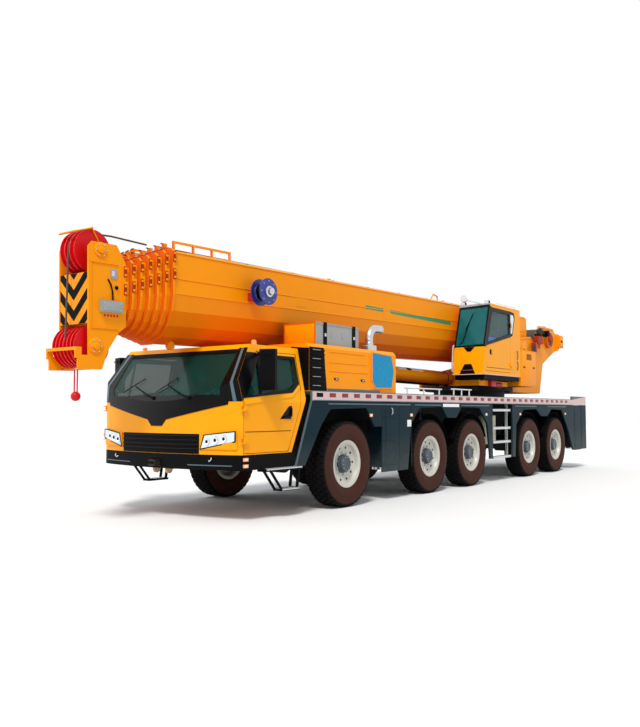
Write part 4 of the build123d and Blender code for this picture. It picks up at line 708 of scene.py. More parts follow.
# ---------------------------------------------------------------- cab doors: glass, frames, handles, mirrors
WINDOW = ((1.205, 1.93), (1.38, 1.815), (2.39, 1.71), (2.015, 2.30), (1.205, 2.30))  # X from the axle, Z


def shrink(points, by):
    """Moves an outline's corners towards its middle."""
    cx = sum(x for x, z in points) / len(points)
    cz = sum(z for x, z in points) / len(points)
    moved = []
    for x, z in points:
        share = by / hypot(cx - x, cz - z)
        moved.append((x + share * (cx - x), z + share * (cz - z)))
    return moved


for side, sign in SIDES:
    door = Shape(f"cab_door_{side}_fittings", f"cab_door_{side}", GLOSS_BLACK, BLACK, STEEL, LENS, CAB_YELLOW)
    outer, inner = shrink(WINDOW, -0.045), shrink(WINDOW, 0.035)
    for corners in bands(outer, inner):
        door.slab([door_point(x, z, sign, 0.001) for x, z in corners], (0, sign * 0.006, 0.001), GLOSS_BLACK)
    ledge = ((2.425, 1.668), (1.372, 1.782), (1.168, 1.912))
    door.ribbon([door_point(x, z, sign) for x, z in ledge],
                [door_point(x, z - 0.055, sign, 0.014) for x, z in ledge], (0, 0, -0.006), CAB_YELLOW)
    # quarter-light bar, handle in its recess, key lock, and the pressed lines of the leaf
    bar = ((2.03, 1.74), (2.06, 1.74), (2.02, 2.28), (1.99, 2.28))
    door.slab([door_point(x, z, sign, -0.012) for x, z in bar], (0, sign * 0.012, 0.001), BLACK)
    recess = ((1.665, 1.405), (1.414, 1.405), (1.392, 1.52), (1.392, 1.593), (1.46, 1.593))
    door.slab([door_point(x, z, sign, 0.0005) for x, z in recess], (0, sign * 0.003, 0), GLOSS_BLACK)
    door.pipe([door_point(1.60, 1.430, sign, 0.012), door_point(1.43, 1.45, sign, 0.022),
               door_point(1.41, 1.56, sign, 0.012)], 0.012, BLACK, 10)
    door.lathe([(0.012, 0), (0.011, 0.006), (0.004, 0.007)], door_point(1.46, 1.37, sign, 0),
               (0, sign, 0), STEEL, 16)
    crease = ((1.42, 1.232), (2.40, 1.232), (2.40, 1.240), (1.42, 1.240))
    door.slab([door_point(x, z, sign, 0.0005) for x, z in crease], (0, sign * 0.003, 0), BLACK)
    # mirror glass, clamps and the small wide-angle mirror under the head
    turn = Matrix.Rotation(radians(20 * sign), 4, "Z")
    mirror = Vector((FX + 2.09, sign * 1.57, 2.09))
    for z, tall in ((0.085, 0.34), (-0.19, 0.15)):
        corners = [(-0.0465, -0.095, z - tall / 2), (-0.0465, 0.095, z - tall / 2),
                   (-0.0465, 0.095, z + tall / 2), (-0.0465, -0.095, z + tall / 2)]
        door.slab([mirror + turn @ Vector(c) for c in corners], turn @ Vector((-0.003, 0, 0)), LENS)
    for z in (0.22, -0.22):
        door.pipe([mirror + turn @ Vector((0.05, -sign * 0.06, z)),
                   mirror + turn @ Vector((0.075, -sign * 0.06, z)),
                   mirror + turn @ Vector((0.075, sign * 0.06, z)),
                   mirror + turn @ Vector((0.05, sign * 0.06, z))], 0.007, BLACK, 8)
    door.done()
    pane = Shape(f"cab_door_{side}_glass", f"cab_door_{side}", GLASS)
    pane.slab([door_point(x, z, sign, -0.020) for x, z in shrink(WINDOW, 0.004)],
              (0, -sign * 0.005, 0), GLASS)
    pane.done()

# ---------------------------------------------------------------- cab interior
inside = Shape("cab_interior", "carrier", TRIM, BLACK)
inside.box((FX + 2.27, 0, 1.40), (0.36, 2.2, 0.42), TRIM, 0.06, (0, 12, 0))
inside.box((FX + 2.12, 0.55, 1.60), (0.24, 0.62, 0.10), BLACK, 0.03, (0, -18, 0))
inside.box((FX + 1.55, 0, 1.18), (0.62, 0.46, 0.34), TRIM, 0.05)
for y in (0.55, -0.55):
    inside.box((FX + 1.52, y, 1.12), (0.46, 0.46, 0.24), BLACK, 0.03)
inside.pipe([(FX + 2.15, 0.55, 1.50), (FX + 1.97, 0.55, 1.66)], 0.03, BLACK, 12)
rim_axis = Vector((-0.60, 0, 0.80)).normalized()
hub_at = Vector((FX + 1.95, 0.55, 1.68))
flat = rim_axis.orthogonal().normalized()
cross = rim_axis.cross(flat)
circle = [hub_at + (flat * cos(2 * pi * k / 28) + cross * sin(2 * pi * k / 28)) * 0.225 for k in range(29)]
inside.pipe(circle, 0.014, BLACK, 8)
for k in range(3):
    a = 2 * pi * k / 3 + 0.5
    inside.pipe([hub_at, hub_at + (flat * cos(a) + cross * sin(a)) * 0.22], 0.012, BLACK, 8)
inside.lathe([(0.06, -0.02), (0.065, 0.0), (0.05, 0.02), (0.0, 0.024)], hub_at, rim_axis, TRIM, 20)
inside.done(crease=40)


def cushion(name, body, centre, size, turn=(0, 0, 0)):
    """A crowned pad with sides that pull in between its corners and two sewn channels."""
    bm = bmesh.new()
    bmesh.ops.create_cube(bm, size=1.0)
    bmesh.ops.subdivide_edges(bm, edges=bm.edges[:], cuts=9, use_grid_fill=True)
    rotation = Euler([radians(a) for a in turn]).to_matrix()
    for vert in bm.verts:
        u, v, w = (c * 2 for c in vert.co)
        crown = (1 - u ** 4) * (1 - v ** 4)
        edge = 1 - 0.06 * (1 - abs(w)) - 0.035 * (1 - min(u * u, v * v))
        seam = 0.10 * max(0, 1 - abs(abs(v) - 0.45) / 0.09) * (1 if w > 0.5 else 0)
        x = u * 0.5 * size[0] * (edge if abs(u) > 0.98 else 1)
        y = v * 0.5 * size[1] * (edge if abs(v) > 0.98 else 1)
        z = w * 0.5 * size[2] * (0.72 + 0.28 * crown - seam * 0.6) if w > 0 else w * 0.5 * size[2]
        vert.co = rotation @ Vector((x, y, z)) + Vector(centre)
    bmesh.ops.subdivide_edges(bm, edges=bm.edges[:], cuts=1, use_grid_fill=True, smooth=0.4)
    data = bpy.data.meshes.new(name)
    for face in bm.faces:
        face.smooth = True
    bm.to_mesh(data)
    bm.free()
    data.materials.append(FABRIC)
    obj = bpy.data.objects.new(name, data)
    bpy.context.collection.objects.link(obj)
    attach(obj, body)


for label, y in (("driver", 0.55), ("mate", -0.55)):
    cushion(f"{label}_seat_pad", "carrier", (FX + 1.55, y, 1.30), (0.50, 0.50, 0.14))
    cushion(f"{label}_back_pad", "carrier", (FX + 1.27, y, 1.62), (0.56, 0.48, 0.13), (0, 80, 0))
    cushion(f"{label}_head_pad", "carrier", (FX + 1.22, y, 1.99), (0.17, 0.26, 0.10), (0, 82, 0))

# ---------------------------------------------------------------- hood, exhaust, locker
hood = Shape("hood_fittings", "carrier", BLACK, LIGHT_GREY, MESH_BLUE, TEAL_GREY, STEEL, ORANGE)
BLUE = ((-0.72, 2.50), (-1.33, 2.47), (-1.42, 2.20), (-1.34, 1.91), (-0.82, 1.90), (-0.71, 2.02))
for sign in (1, -1):
    hood.slab(side_on(((0.995, 1.83), (0.55, 1.83), (0.63, 2.49), (0.995, 2.49)), sign * HOOD_Y),
              (0, sign * 0.004, 0), BLACK)
    hood.slab([(FX + 0.9995, sign * y, z)
               for y, z in ((1.44, 1.83), (1.10, 1.83), (1.10, 2.5), (1.44, 2.47))], (0.004, 0, 0), BLACK)
    for k in range(9):
        z = 1.9 + 0.068 * k
        hood.box((FX + 0.785, sign * 1.455, z), (0.33, 0.006, 0.026), BLACK, 0.002)
        if k % 2 == 0:
            hood.box((FX + 0.83, sign * 1.4585, z + 0.006), (0.20, 0.003, 0.009), LIGHT_GREY)
    hood.slab(side_on(BLUE, sign * SCREEN_Y), (0, sign * 0.005, 0), MESH_BLUE)
    for start, end in zip(BLUE, BLUE[1:] + BLUE[:1]):
        hood.pipe(side_on((start, end), sign * SCREEN_Y), 0.011, ORANGE, 8)
    hood.box((FX - 0.22, sign * 1.443, 1.848), (1.50, 0.006, 0.045), TEAL_GREY, 0.002)
    # pressed lines and latches of the side doors
    for z, x_to in ((2.44, -0.50), (2.275, -0.58), (2.14, -0.60)):
        hood.pipe(side_on(((0.50, z), (x_to, z)), sign * 1.441), 0.007, ORANGE, 8)
    for x in (0.46, -0.62):
        hood.pipe(side_on(((x, 1.86), (x, 2.47)), sign * 1.441), 0.006, ORANGE, 8)
    for x in (0.30, -0.45):
        hood.box((FX + x, sign * 1.444, 2.02), (0.11, 0.012, 0.034), BLACK, 0.004)
        hood.box((FX + x, sign * 1.450, 2.02), (0.05, 0.012, 0.018), STEEL, 0.003)
# locker: buckles, hinges, capping strips and the front cover
for x in (-0.42, 0.38):
    hood.box((FX + x, 1.292, 2.72), (0.05, 0.012, 0.05), STEEL, 0.004)
for x in (-0.1, 0.20):
    hood.box((FX + x, 1.284, 2.74), (0.03, 0.012, 0.10), LIGHT_GREY, 0.004)
hood.box((FX + 0.025, 1.284, 2.895), (1.19, 0.010, 0.020), LIGHT_GREY, 0.003)
hood.box((FX + 0.025, 1.284, 2.56), (1.19, 0.010, 0.018), LIGHT_GREY, 0.003)
hood.box((FX + 0.622, 0.96, 2.73), (0.008, 0.58, 0.30), ORANGE, 0.003)
hood.done()

stack = Shape("exhaust_pipe", "carrier", STEEL, BLACK)
PIPE_X, PIPE_Y = FX - 1.23, 1.06
bend = [(PIPE_X, PIPE_Y, 2.55), (PIPE_X, PIPE_Y, 2.78)]
bend += [(PIPE_X - 0.2 + 0.2 * cos(a), PIPE_Y, 2.78 + 0.2 * sin(a))
         for a in [pi / 2 * k / 8 for k in range(1, 9)]]
bend += [(FX - 1.60, PIPE_Y, 2.98)]
stack.pipe(bend, 0.072, STEEL, 32)
stack.lathe([(0.135, 0.0), (0.135, 0.10), (0.120, 0.115), (0.078, 0.118), (0.076, 0.14)],
            (PIPE_X, PIPE_Y, 2.552), UP, STEEL, 40)
stack.lathe([(0.066, 0), (0.066, 0.004)], (FX - 1.601, PIPE_Y, 2.98), (-1, 0, 0), BLACK, 32)
stack.lathe([(0.0725, 0), (0.0745, 0.006), (0.0745, 0.022), (0.0725, 0.028)], (FX - 1.595, PIPE_Y, 2.98),
            (1, 0, 0), STEEL, 40)
for z in (2.70, 2.76):
    stack.lathe([(0.0745, 0), (0.0765, 0.004), (0.0765, 0.018), (0.0745, 0.022)], (PIPE_X, PIPE_Y, z),
                UP, STEEL, 40)
stack.done(crease=40, replaces=("exhaust_stack",))

# ---------------------------------------------------------------- deck edge, lamps and panels
deck = Shape("deck_edge_trim", "carrier", TAPE_PALE, TAPE_RED, TEAL_GREY, WHITE, TEAL, BLACK, STEEL)
SQUARE_PITCH, SQUARE_LONG = 0.335, 0.165
edge_from, edge_to = DECK_X[1] - 0.02, DECK_X[0] + 1.10
edge_mid, edge_long = (edge_from + edge_to) / 2, edge_from - edge_to
for sign in (1, -1):
    deck.box((edge_mid, sign * (HALF_W + 0.0015), 1.752), (edge_long, 0.003, 0.125), TAPE_PALE)
    for k in range(int(edge_long / SQUARE_PITCH)):
        deck.box((edge_from - 0.16 - k * SQUARE_PITCH, sign * (HALF_W + 0.004), 1.765),
                 (SQUARE_LONG, 0.004, 0.062), TAPE_RED if k else BLACK, 0.0015)
    deck.box((edge_mid, sign * (HALF_W - 0.012), 1.823), (edge_long, 0.028, 0.010), TEAL_GREY, 0.003)
    deck.box((edge_mid, sign * (HALF_W + 0.003), 1.683), (edge_long, 0.010, 0.014), TEAL_GREY, 0.003)
    # light flange under the edge, broken at the ladder
    for x_from, x_to in ((0.55, -1.95), (-2.10, -3.10), (-3.95, -5.25), (-6.62, -7.90), (-8.62, -9.9)):
        deck.box((FX + (x_from + x_to) / 2, sign * (HALF_W + 0.003), 1.632), (x_from - x_to, 0.012, 0.022),
                 TEAL_GREY, 0.004)
    # seams, hinges and handles of the outrigger covers and the rear panel
    for x, z, tall in ((-1.12, 1.1, 1.1), (-1.98, 1.1, 1.1), (-2.30, 1.5, 0.3), (-10.60, 1.1, 1.1),
                       (-11.10, 1.1, 1.1)):
        deck.box((FX + x, sign * (HALF_W + 0.001), z), (0.012, 0.006, tall), TEAL, 0.002)
    for x in (-1.42 + 0.15 * sign, -10.95 + 0.15 * sign):
        for z in (0.62, 1.02, 1.42):
            deck.box((FX + x, sign * (HALF_W + 0.004), z), (0.50, 0.010, 0.018), TEAL, 0.004)
    handle = ((0.004, 1.46), (0.026, 1.48), (0.026, 1.55), (0.004, 1.57))
    deck.pipe([(FX - 1.30, sign * (HALF_W + out), z) for out, z in handle], 0.008, STEEL, 8)
    deck.slab(side_on(((-3.18, 1.66), (-3.85, 1.66), (-3.85, 1.60), (-3.18, 1.60)), sign * (HALF_W + 0.001)),
              (0, sign * 0.004, 0), WHITE)
    for x in (-0.65, -1.97, -5.10, -6.91, -9.86):
        lamps.box((FX + x, sign * (HALF_W + 0.006), 1.45), (0.085, 0.014, 0.055), AMBER, 0.006)
        lamps.box((FX + x, sign * (HALF_W + 0.010), 1.45), (0.05, 0.012, 0.03), WHITE, 0.004)
    deck.box((FX - 1.893, sign * (HALF_W + 0.006), 1.305), (0.13, 0.012, 0.12), WHITE, 0.006)
    for y, colour in ((1.16, AMBER), (1.26, LAMP_RED), (1.36, LAMP_RED)):
        lamps.lathe([(0.042, 0), (0.042, 0.008), (0.030, 0.014)], (DECK_X[0] - 0.091, sign * y, 0.88),
                    (-1, 0, 0), colour, 24)
    # grip of the ladder's treads
    for z in (0.52, 0.85, 1.15, 1.54):
        for k in range(4):
            deck.box((FX - 5.95, sign * (HALF_W - 0.115 + 0.026 * k), z + 0.024), (0.92, 0.010, 0.006), STEEL)
        deck.box((FX - 5.95, sign * (HALF_W - 0.018), z), (0.94, 0.005, 0.05), STEEL, 0.002)
    # tie-down eyes and covers on the deck
    for x in (-2.4, -3.9, -9.0, -10.2):
        deck.box((FX + x, sign * 1.18, DECK_TOP + 0.006), (0.42, 0.30, 0.012), TEAL_GREY, 0.004)
        for k in range(3):
            deck.box((FX + x - 0.12 + 0.12 * k, sign * 1.18, DECK_TOP + 0.014),
                     (0.03, 0.26, 0.008), STEEL, 0.003)
for k in range(10):
    deck.box((DECK_X[0] - 0.002, -1.3 + 0.29 * k, 1.74), (0.004, 0.10, 0.05), TAPE_RED)
deck.box((DECK_X[0] - 0.001, 0, 1.74), (0.003, 2.9, 0.11), TAPE_PALE)
deck.done()
lamps.done()

liner = Shape("wheel_arch_liners", "carrier", BLACK)
LINER_R = 0.80
for x in AXLES[1:]:
    arc = [pi * (0.12 + 0.76 * k / 12) for k in range(13)]
    points = [(x + LINER_R * cos(a), TYRE_R + LINER_R * sin(a)) for a in arc]
    for sign in (1, -1):
        liner.ribbon(side_on(points, sign * 1.06, 0), side_on(points, sign * 1.42, 0), (0, 0, 0.006), BLACK)
liner.done()

# ---------------------------------------------------------------- boom
flank = Shape("boom_trim", "boom_base", GREEN, ORANGE, ROPE, STEEL, BLACK)
for sign in (1, -1):
    y = sign * 0.5505
    flank.slab([(1.81, y, 3.43), (-1.60, y, 3.42), (-1.60, y, 3.50), (1.81, y, 3.50)],
               (0, sign * 0.002, 0), GREEN)
    for z, size in ((0.455, 0.008), (0.245, 0.007), (0.815, 0.010)):
        flank.pipe([boom(-0.3, y, z), boom(12.05, y, z)], size, ORANGE, 8)
    for x in (0.6, 3.1, 6.4, 9.1):
        flank.slab([boom(x, y, 0.30), boom(x + 0.30, y, 0.30), boom(x + 0.24, y, 0.70),
                    boom(x + 0.06, y, 0.70)], (0, sign * 0.004, 0), ORANGE)
    flank.pipe([boom(2.2 + k * 0.5, sign * 0.40, 0.875) for k in range(20)], 0.012, STEEL, 8)
    for k in range(9):
        flank.box(boom(2.4 + k * 1.15, sign * 0.40, 0.866), (0.05, 0.06, 0.03), BLACK, 0.006)
# rope from the winch along the top, over guide rollers
over = boom(-0.38, ROPE_Y, ROPE_Z)
leave = DRUM + Vector((-0.077, ROPE_Y, 0.315))
parting = over.lerp(leave, 0.43)  # the rope's two pieces meet here, clear of what the boom sweeps
run = [boom(x, ROPE_Y, ROPE_Z) for x in (0.4, 3.6, 8.0)]
flank.pipe([parting, over] + run + [boom(12.0, ROPE_Y, 0.975)], ROPE_R, ROPE, 8)
for x in (-0.38, 0.4, 3.6, 8.0, 11.9):
    flank.rod(boom(x, -0.10, 0.915), boom(x, 0.22, 0.915), 0.032, BLACK, 20, 0.004)
    for y in (-0.11, 0.23):
        flank.box(boom(x, y, 0.895), (0.10, 0.014, 0.11), ORANGE, 0.004)
flank.pipe([boom(4.0, 0.30, 0.86), boom(4.02, 0.30, 1.0), boom(4.2, 0.30, 1.03), boom(4.35, 0.30, 0.86)],
           0.014, ORANGE, 8)
# the reel's hub, cable and screws
flank.lathe([(0.085, 0), (0.085, 0.02), (0.06, 0.03), (0.056, 0.07), (0.030, 0.085), (0.0, 0.09)],
            reel + Vector((0, 0.356, 0)), ALONG_Y, STEEL, 32)
flank.bolts(reel + Vector((0, 0.354, 0)), ALONG_Y, 0.165, 8, [(0.011, 0), (0.009, 0.008)], STEEL)
for k in range(12):
    flank.lathe([(0.128, 0), (0.134, 0.004), (0.134, 0.008), (0.128, 0.012)],
                reel + Vector((0, 0.205 + k * 0.0118, 0)), ALONG_Y, BLACK, 32)
flank.done()

head = Shape("boom_head_trim", "boom_section_7", BLACK, ORANGE, ROPE, LIGHT_GREY, STEEL, RED)
HALF, SIGN_LOW, SIGN_HIGH = 0.283, -0.228, 0.428
SIGN_X = HEAD_X + 0.5355


def clip(points, value, keep_above):
    """The part of a flat outline above or below a height."""
    kept = []
    for (y0, z0), (y1, z1) in zip(points, points[1:] + points[:1]):
        in0, in1 = (z0 >= value) == keep_above, (z1 >= value) == keep_above
        if in0:
            kept.append((y0, z0))
        if in0 != in1:
            t = (value - z0) / (z1 - z0)
            kept.append((y0 + t * (y1 - y0), value))
    return kept


for k in range(-2, 3):
    for sign in (1, -1):
        base = -0.19 + k * 0.27
        stripe = [(0.0, base), (HALF, base + HALF), (HALF, base + HALF + 0.135), (0.0, base + 0.135)]
        stripe = clip(stripe, SIGN_LOW, True)
        stripe = clip(stripe, SIGN_HIGH, False) if len(stripe) > 2 else []
        if len(stripe) > 2:
            head.slab([boom(SIGN_X, sign * y, z) for y, z in stripe],
                      boom(0.002, 0, 0) - boom(0, 0, 0), BLACK)
# hoist rope over the top sheave and down the face, and the rope guide over it
top_sheave = (HEAD_X + 0.35, 0.729)
path = [boom(12.16, 0.05, 0.975), boom(HEAD_X - 0.02, 0.05, 1.0)]
path += [boom(top_sheave[0] + 0.268 * cos(a), 0.0, top_sheave[1] + 0.268 * sin(a))
         for a in [radians(96 - 12 * k) for k in range(9)]]
path += [boom(HEAD_X + 0.660, 0.0, -0.36), boom(HEAD_X + 0.672, 0.0, -0.47)]
head.pipe(path, 0.013, ROPE, 10)
for y in (-0.16, 0.16):
    head.pipe([boom(top_sheave[0] - 0.10, y, 0.83), boom(top_sheave[0] + 0.02, y, 1.035),
               boom(top_sheave[0] + 0.28, y, 0.955)], 0.010, ORANGE, 8)
head.rod(boom(top_sheave[0] + 0.28, -0.17, 0.955), boom(top_sheave[0] + 0.28, 0.17, 0.955), 0.014, ORANGE, 12)
head.rod(boom(top_sheave[0] + 0.02, -0.17, 1.035), boom(top_sheave[0] + 0.02, 0.17, 1.035), 0.014, ORANGE, 12)
# pins, nuts and plates on the cheeks, the grey box's lid, its cable and a lamp
for sign in (1, -1):
    y = sign * 0.3105
    for x, z, r in ((0.35, 0.729, 0.105), (0.43, -0.521, 0.115)):
        head.lathe([(r, 0), (r, 0.006), (r - 0.01, 0.012), (0.055, 0.012), (0.052, 0.030), (0.03, 0.034)],
                   boom(HEAD_X + x, y, z), (0, sign, 0), ORANGE, 36)
        head.bolts(boom(HEAD_X + x, y + sign * 0.012, z), (0, sign, 0), 0.08, 6, [(0.012, 0), (0.010, 0.01)],
                   STEEL, turn=-TILT)
    for x0, x1, z0, z1 in ((0.07, 0.52, 0.56, 0.574), (0.07, 0.52, -0.29, -0.276),
                           (0.50, 0.514, -0.27, 0.55)):
        corners = ((x0, z0), (x1, z0), (x1, z1), (x0, z1))
        head.slab([boom(HEAD_X + x, y, z) for x, z in corners], (0, sign * 0.012, 0), ORANGE)
    head.lathe([(0.026, 0), (0.022, 0.02)], boom(HEAD_X + 0.10, y, 0.26), (0, sign, 0), BLACK, 16)
    head.pipe([boom(HEAD_X + 0.24, sign * 0.318, 0.36), boom(HEAD_X + 0.20, sign * 0.324, 0.30),
               boom(HEAD_X + 0.17, sign * 0.324, 0.20), boom(HEAD_X + 0.17, sign * 0.330, 0.09)],
              0.010, BLACK, 8)
head.box(boom(HEAD_X + 0.205, 0.373, 0.0), (0.300, 0.006, 0.115), LIGHT_GREY, 0.002)
for dx in (-0.13, 0.13):
    for dz in (-0.045, 0.045):
        head.lathe([(0.009, 0), (0.008, 0.004)], boom(HEAD_X + 0.205 + dx, 0.375, dz), ALONG_Y, STEEL, 12)
head.box(boom(HEAD_X + 0.14, 0.3165, 0.44), (0.11, 0.012, 0.13), LIGHT_GREY, 0.004)
head.box(boom(HEAD_X + 0.16, 0.322, 0.44), (0.05, 0.012, 0.07), STEEL, 0.003)
for k in range(5):
    head.box(boom(HEAD_X + 0.085 + 0.05 * k, 0.3125, -0.115), (0.026, 0.004, 0.03), RED)
head.done()

# ---------------------------------------------------------------- collars of the telescope
HALF_BOOM, TOP_BOOM = 0.55, 0.855
for index in range(7):
    body = "boom_base" if index == 0 else f"boom_section_{index + 1}"
    pads = Shape(f"collar_{index + 1}_pads", body, BRICK_DARK, ORANGE, STEEL, BLACK)
    x = 12.14 + 0.11 * index - 0.028
    half, top = HALF_BOOM - 0.04 * index, TOP_BOOM - 0.045 * index
    for sign in (1, -1):
        for z in (top - 0.10, top - 0.34):
            pads.box(boom(x, sign * (half + 0.028), z), (0.050, 0.018, 0.15), BRICK_DARK, 0.003)
            for dz in (-0.045, 0.045):
                pads.box(boom(x, sign * (half + 0.038), z + dz), (0.036, 0.010, 0.030), ORANGE, 0.003)
        for y in (0.30, 0.42):
            pads.box(boom(x, sign * y * half / HALF_BOOM, top + 0.030), (0.050, 0.07, 0.022),
                     BRICK_DARK, 0.003)
            pads.lathe([(0.011, 0), (0.009, 0.010)],
                       boom(x, sign * y * half / HALF_BOOM, top + 0.041), UP, STEEL, 6)
        pads.pipe([boom(x - 0.006, sign * half * 0.62, top + 0.105),
                   boom(x - 0.006, sign * (half * 0.62 - 0.05), top + 0.118)], 0.008, BLACK, 8)
    pads.done()

# ---------------------------------------------------------------- operator's cab
LEAN = 0.30 / 0.96


def op_face(y, z, out=0.0):
    """A point on the front of the operator's cab, above its fold."""
    return Vector((OP_FRONT - 0.03 - LEAN * (z - 2.9) + out * 0.954, y, z + out * 0.298))


OP_NORMAL = Vector((0.954, 0, 0.298))
glazed = Shape("operator_cab_trim", "superstructure", GLOSS_BLACK, BLACK, TAPE_PALE, WHITE, STEEL,
               LENS, LIGHT_GREY)
ring_out = ((0.712, 2.885), (1.412, 2.925), (1.412, 3.835), (0.712, 3.80))
ring_in = ((0.782, 2.96), (1.338, 2.985), (1.338, 3.70), (0.782, 3.69))
for quad in bands(ring_out, ring_in):
    glazed.slab([op_face(y, max(z, 2.902), 0.001) for y, z in quad], OP_NORMAL * 0.005, GLOSS_BLACK)
gutter = ((0.702, 3.80), (1.418, 3.832), (1.418, 3.858), (0.702, 3.858))
glazed.slab([op_face(y, z, 0.001) for y, z in gutter], OP_NORMAL * 0.014, LIGHT_GREY)
glazed.slab([op_face(y, z, 0.001) for y, z in ((0.97, 2.96), (0.99, 2.902), (1.13, 2.902), (1.15, 2.97))],
            OP_NORMAL * 0.006, GLOSS_BLACK)


def low_face(y, z, out=0.0):
    """A point on the front of the operator's cab, below its fold."""
    return Vector((OP_FRONT + 0.06 - 0.09 * (z - 2.3) / 0.6 + out, y, z))


# V under the windscreen, the black notch at the foot, sill strip, grab rail and wiper
glazed.slab([low_face(y, z, 0.001) for y, z in ((0.93, 2.897), (1.02, 2.80), (1.10, 2.80), (1.19, 2.897))],
            (0.005, 0, 0), GLOSS_BLACK)
glazed.slab([low_face(y, z, 0.001) for y, z in ((0.86, 2.302), (1.24, 2.302), (1.13, 2.53), (0.97, 2.53))],
            (0.004, 0, 0), GLOSS_BLACK)
glazed.slab([low_face(y, z, 0.001) for y, z in ((0.87, 2.395), (1.20, 2.395), (1.195, 2.405), (0.88, 2.405))],
            (0.006, 0, 0), STEEL)
glazed.box((OP_FRONT - 0.90, 1.422, 2.312), (1.80, 0.008, 0.020), TAPE_PALE, 0.002)
glazed.box((OP_FRONT + 0.062, OP_Y, 2.306), (0.010, 0.70, 0.018), TAPE_PALE, 0.002)
glazed.pipe([(OP_FRONT + 0.068, 0.712, 2.36), (OP_FRONT + 0.105, 0.712, 2.40),
             (OP_FRONT + 0.055, 0.712, 2.90), (OP_FRONT + 0.01, 0.712, 2.95)], 0.016, TAPE_PALE, 12)
glazed.pipe([op_face(0.82, 2.96, 0.02), op_face(0.90, 3.0, 0.03), op_face(1.00, 3.46, 0.028)],
            0.008, BLACK, 8)
glazed.pipe([op_face(0.93, 3.28, 0.024), op_face(1.06, 3.64, 0.024)], 0.007, BLACK, 8)
# corner pillar and the fixed glass behind the door
post = ((-0.034, 2.90), (-0.095, 2.90), (-0.385, 3.80), (-0.312, 3.80))
rear_rim = ((-1.395, 3.20), (-1.50, 3.235), (-1.64, 3.66), (-1.60, 3.76), (-1.395, 3.78))
rear_glass = ((-1.40, 3.27), (-1.475, 3.29), (-1.575, 3.62), (-1.545, 3.70), (-1.40, 3.71))
glazed.slab(side_on(post, OP_SIDE, OP_FRONT), (0, 0.004, 0), GLOSS_BLACK)
glazed.slab(side_on(rear_rim, OP_SIDE, OP_FRONT), (0, 0.004, 0), GLOSS_BLACK)
glazed.slab(side_on(rear_glass, 1.4255, OP_FRONT), (0, 0.003, 0), LENS)
for z in (2.56, 2.80):
    grip = ((1.423, -0.10), (1.445, -0.06), (1.445, 0.06), (1.423, 0.10))
    glazed.pipe([(OP_FRONT - 1.75, y, z + rise) for y, rise in grip], 0.008, BLACK, 8)
# round mirror's face, work lamps on the roof, aerial
mirror_at = Vector((OP_FRONT + 0.43, 1.18, 3.89))
glazed.lathe([(0.068, 0), (0.068, 0.004)], mirror_at + Vector((0.021, 0, 0)), (1, 0, 0), LENS, 36)
for y in (0.78, 1.34):
    glazed.box((OP_FRONT - 0.36, y, 3.885), (0.07, 0.11, 0.075), BLACK, 0.012)
    glazed.box((OP_FRONT - 0.322, y, 3.885), (0.010, 0.09, 0.055), LENS, 0.003)
glazed.rod((OP_FRONT - 0.42, 0.78, 3.86), (OP_FRONT - 0.42, 0.78, 4.0), 0.004, BLACK, 8)
glazed.box((OP_FRONT - 1.05, OP_Y, 3.866), (1.15, 0.50, 0.010), WHITE, 0.003)
glazed.box((OP_FRONT - 0.95, OP_Y, 3.876), (0.50, 0.34, 0.012), GLOSS_BLACK, 0.004)
# seat, console and levers
glazed.box((OP_FRONT - 1.0, OP_Y, 2.48), (0.44, 0.42, 0.25), BLACK, 0.03)
for y in (0.83, 1.29):
    glazed.box((OP_FRONT - 0.92, y, 2.82), (0.46, 0.11, 0.10), BLACK, 0.02)
    glazed.rod((OP_FRONT - 0.73, y, 2.86), (OP_FRONT - 0.70, y, 2.99), 0.010, STEEL, 10)
    glazed.lathe([(0.012, 0), (0.024, 0.02), (0.024, 0.05), (0.010, 0.065)], (OP_FRONT - 0.70, y, 2.98),
                 UP, BLACK, 14)
glazed.box((OP_FRONT - 0.32, 0.84, 3.02), (0.06, 0.16, 0.24), BLACK, 0.01, (0, 0, 30))
glazed.done()
cushion("operator_seat_pad", "superstructure", (OP_FRONT - 0.98, OP_Y, 2.69), (0.48, 0.44, 0.13))
cushion("operator_back_pad", "superstructure", (OP_FRONT - 1.25, OP_Y, 3.05), (0.62, 0.44, 0.12), (0, 82, 0))
cushion("operator_head_pad", "superstructure", (OP_FRONT - 1.30, OP_Y, 3.46), (0.17, 0.24, 0.09), (0, 84, 0))
pane = Shape("operator_windscreen", "superstructure", OP_GLASS)
pane.slab([op_face(y, z, 0.007) for y, z in ((0.745, 2.93), (1.385, 2.95), (1.385, 3.77), (0.745, 3.745))],
          OP_NORMAL * 0.004, OP_GLASS)
pane.done()

leaf = Shape("operator_door_trim", "operator_cab_door", GLOSS_BLACK, CAB_YELLOW, BLACK, STEEL, SIGN_BLUE)
sill = ((-0.118, 2.855), (-0.155, 2.962), (-1.34, 3.205), (-1.34, 2.97))
leaf.slab(side_on(sill, 1.392, OP_FRONT), (0, 0.0285, 0), CAB_YELLOW)
frame_out = ((-0.105, 2.925), (-0.388, 3.775), (-1.384, 3.775), (-1.384, 3.195))
frame_in = ((-0.185, 2.995), (-0.43, 3.70), (-1.325, 3.70), (-1.325, 3.255))
for corners in bands(frame_out, frame_in):
    leaf.slab(side_on(corners, OP_SIDE, OP_FRONT), (0, 0.004, 0), GLOSS_BLACK)
leaf.slab(side_on(((-0.20, 3.01), (-0.24, 3.13), (-0.62, 3.13), (-0.62, 3.09)), 1.4025, OP_FRONT),
          (0, 0.003, 0), SIGN_BLUE)
leaf.lathe([(0.062, 0), (0.064, 0.004), (0.050, 0.007), (0.0, 0.003)], (OP_FRONT - 0.34, 1.420, 2.80),
           ALONG_Y, BLACK, 28)
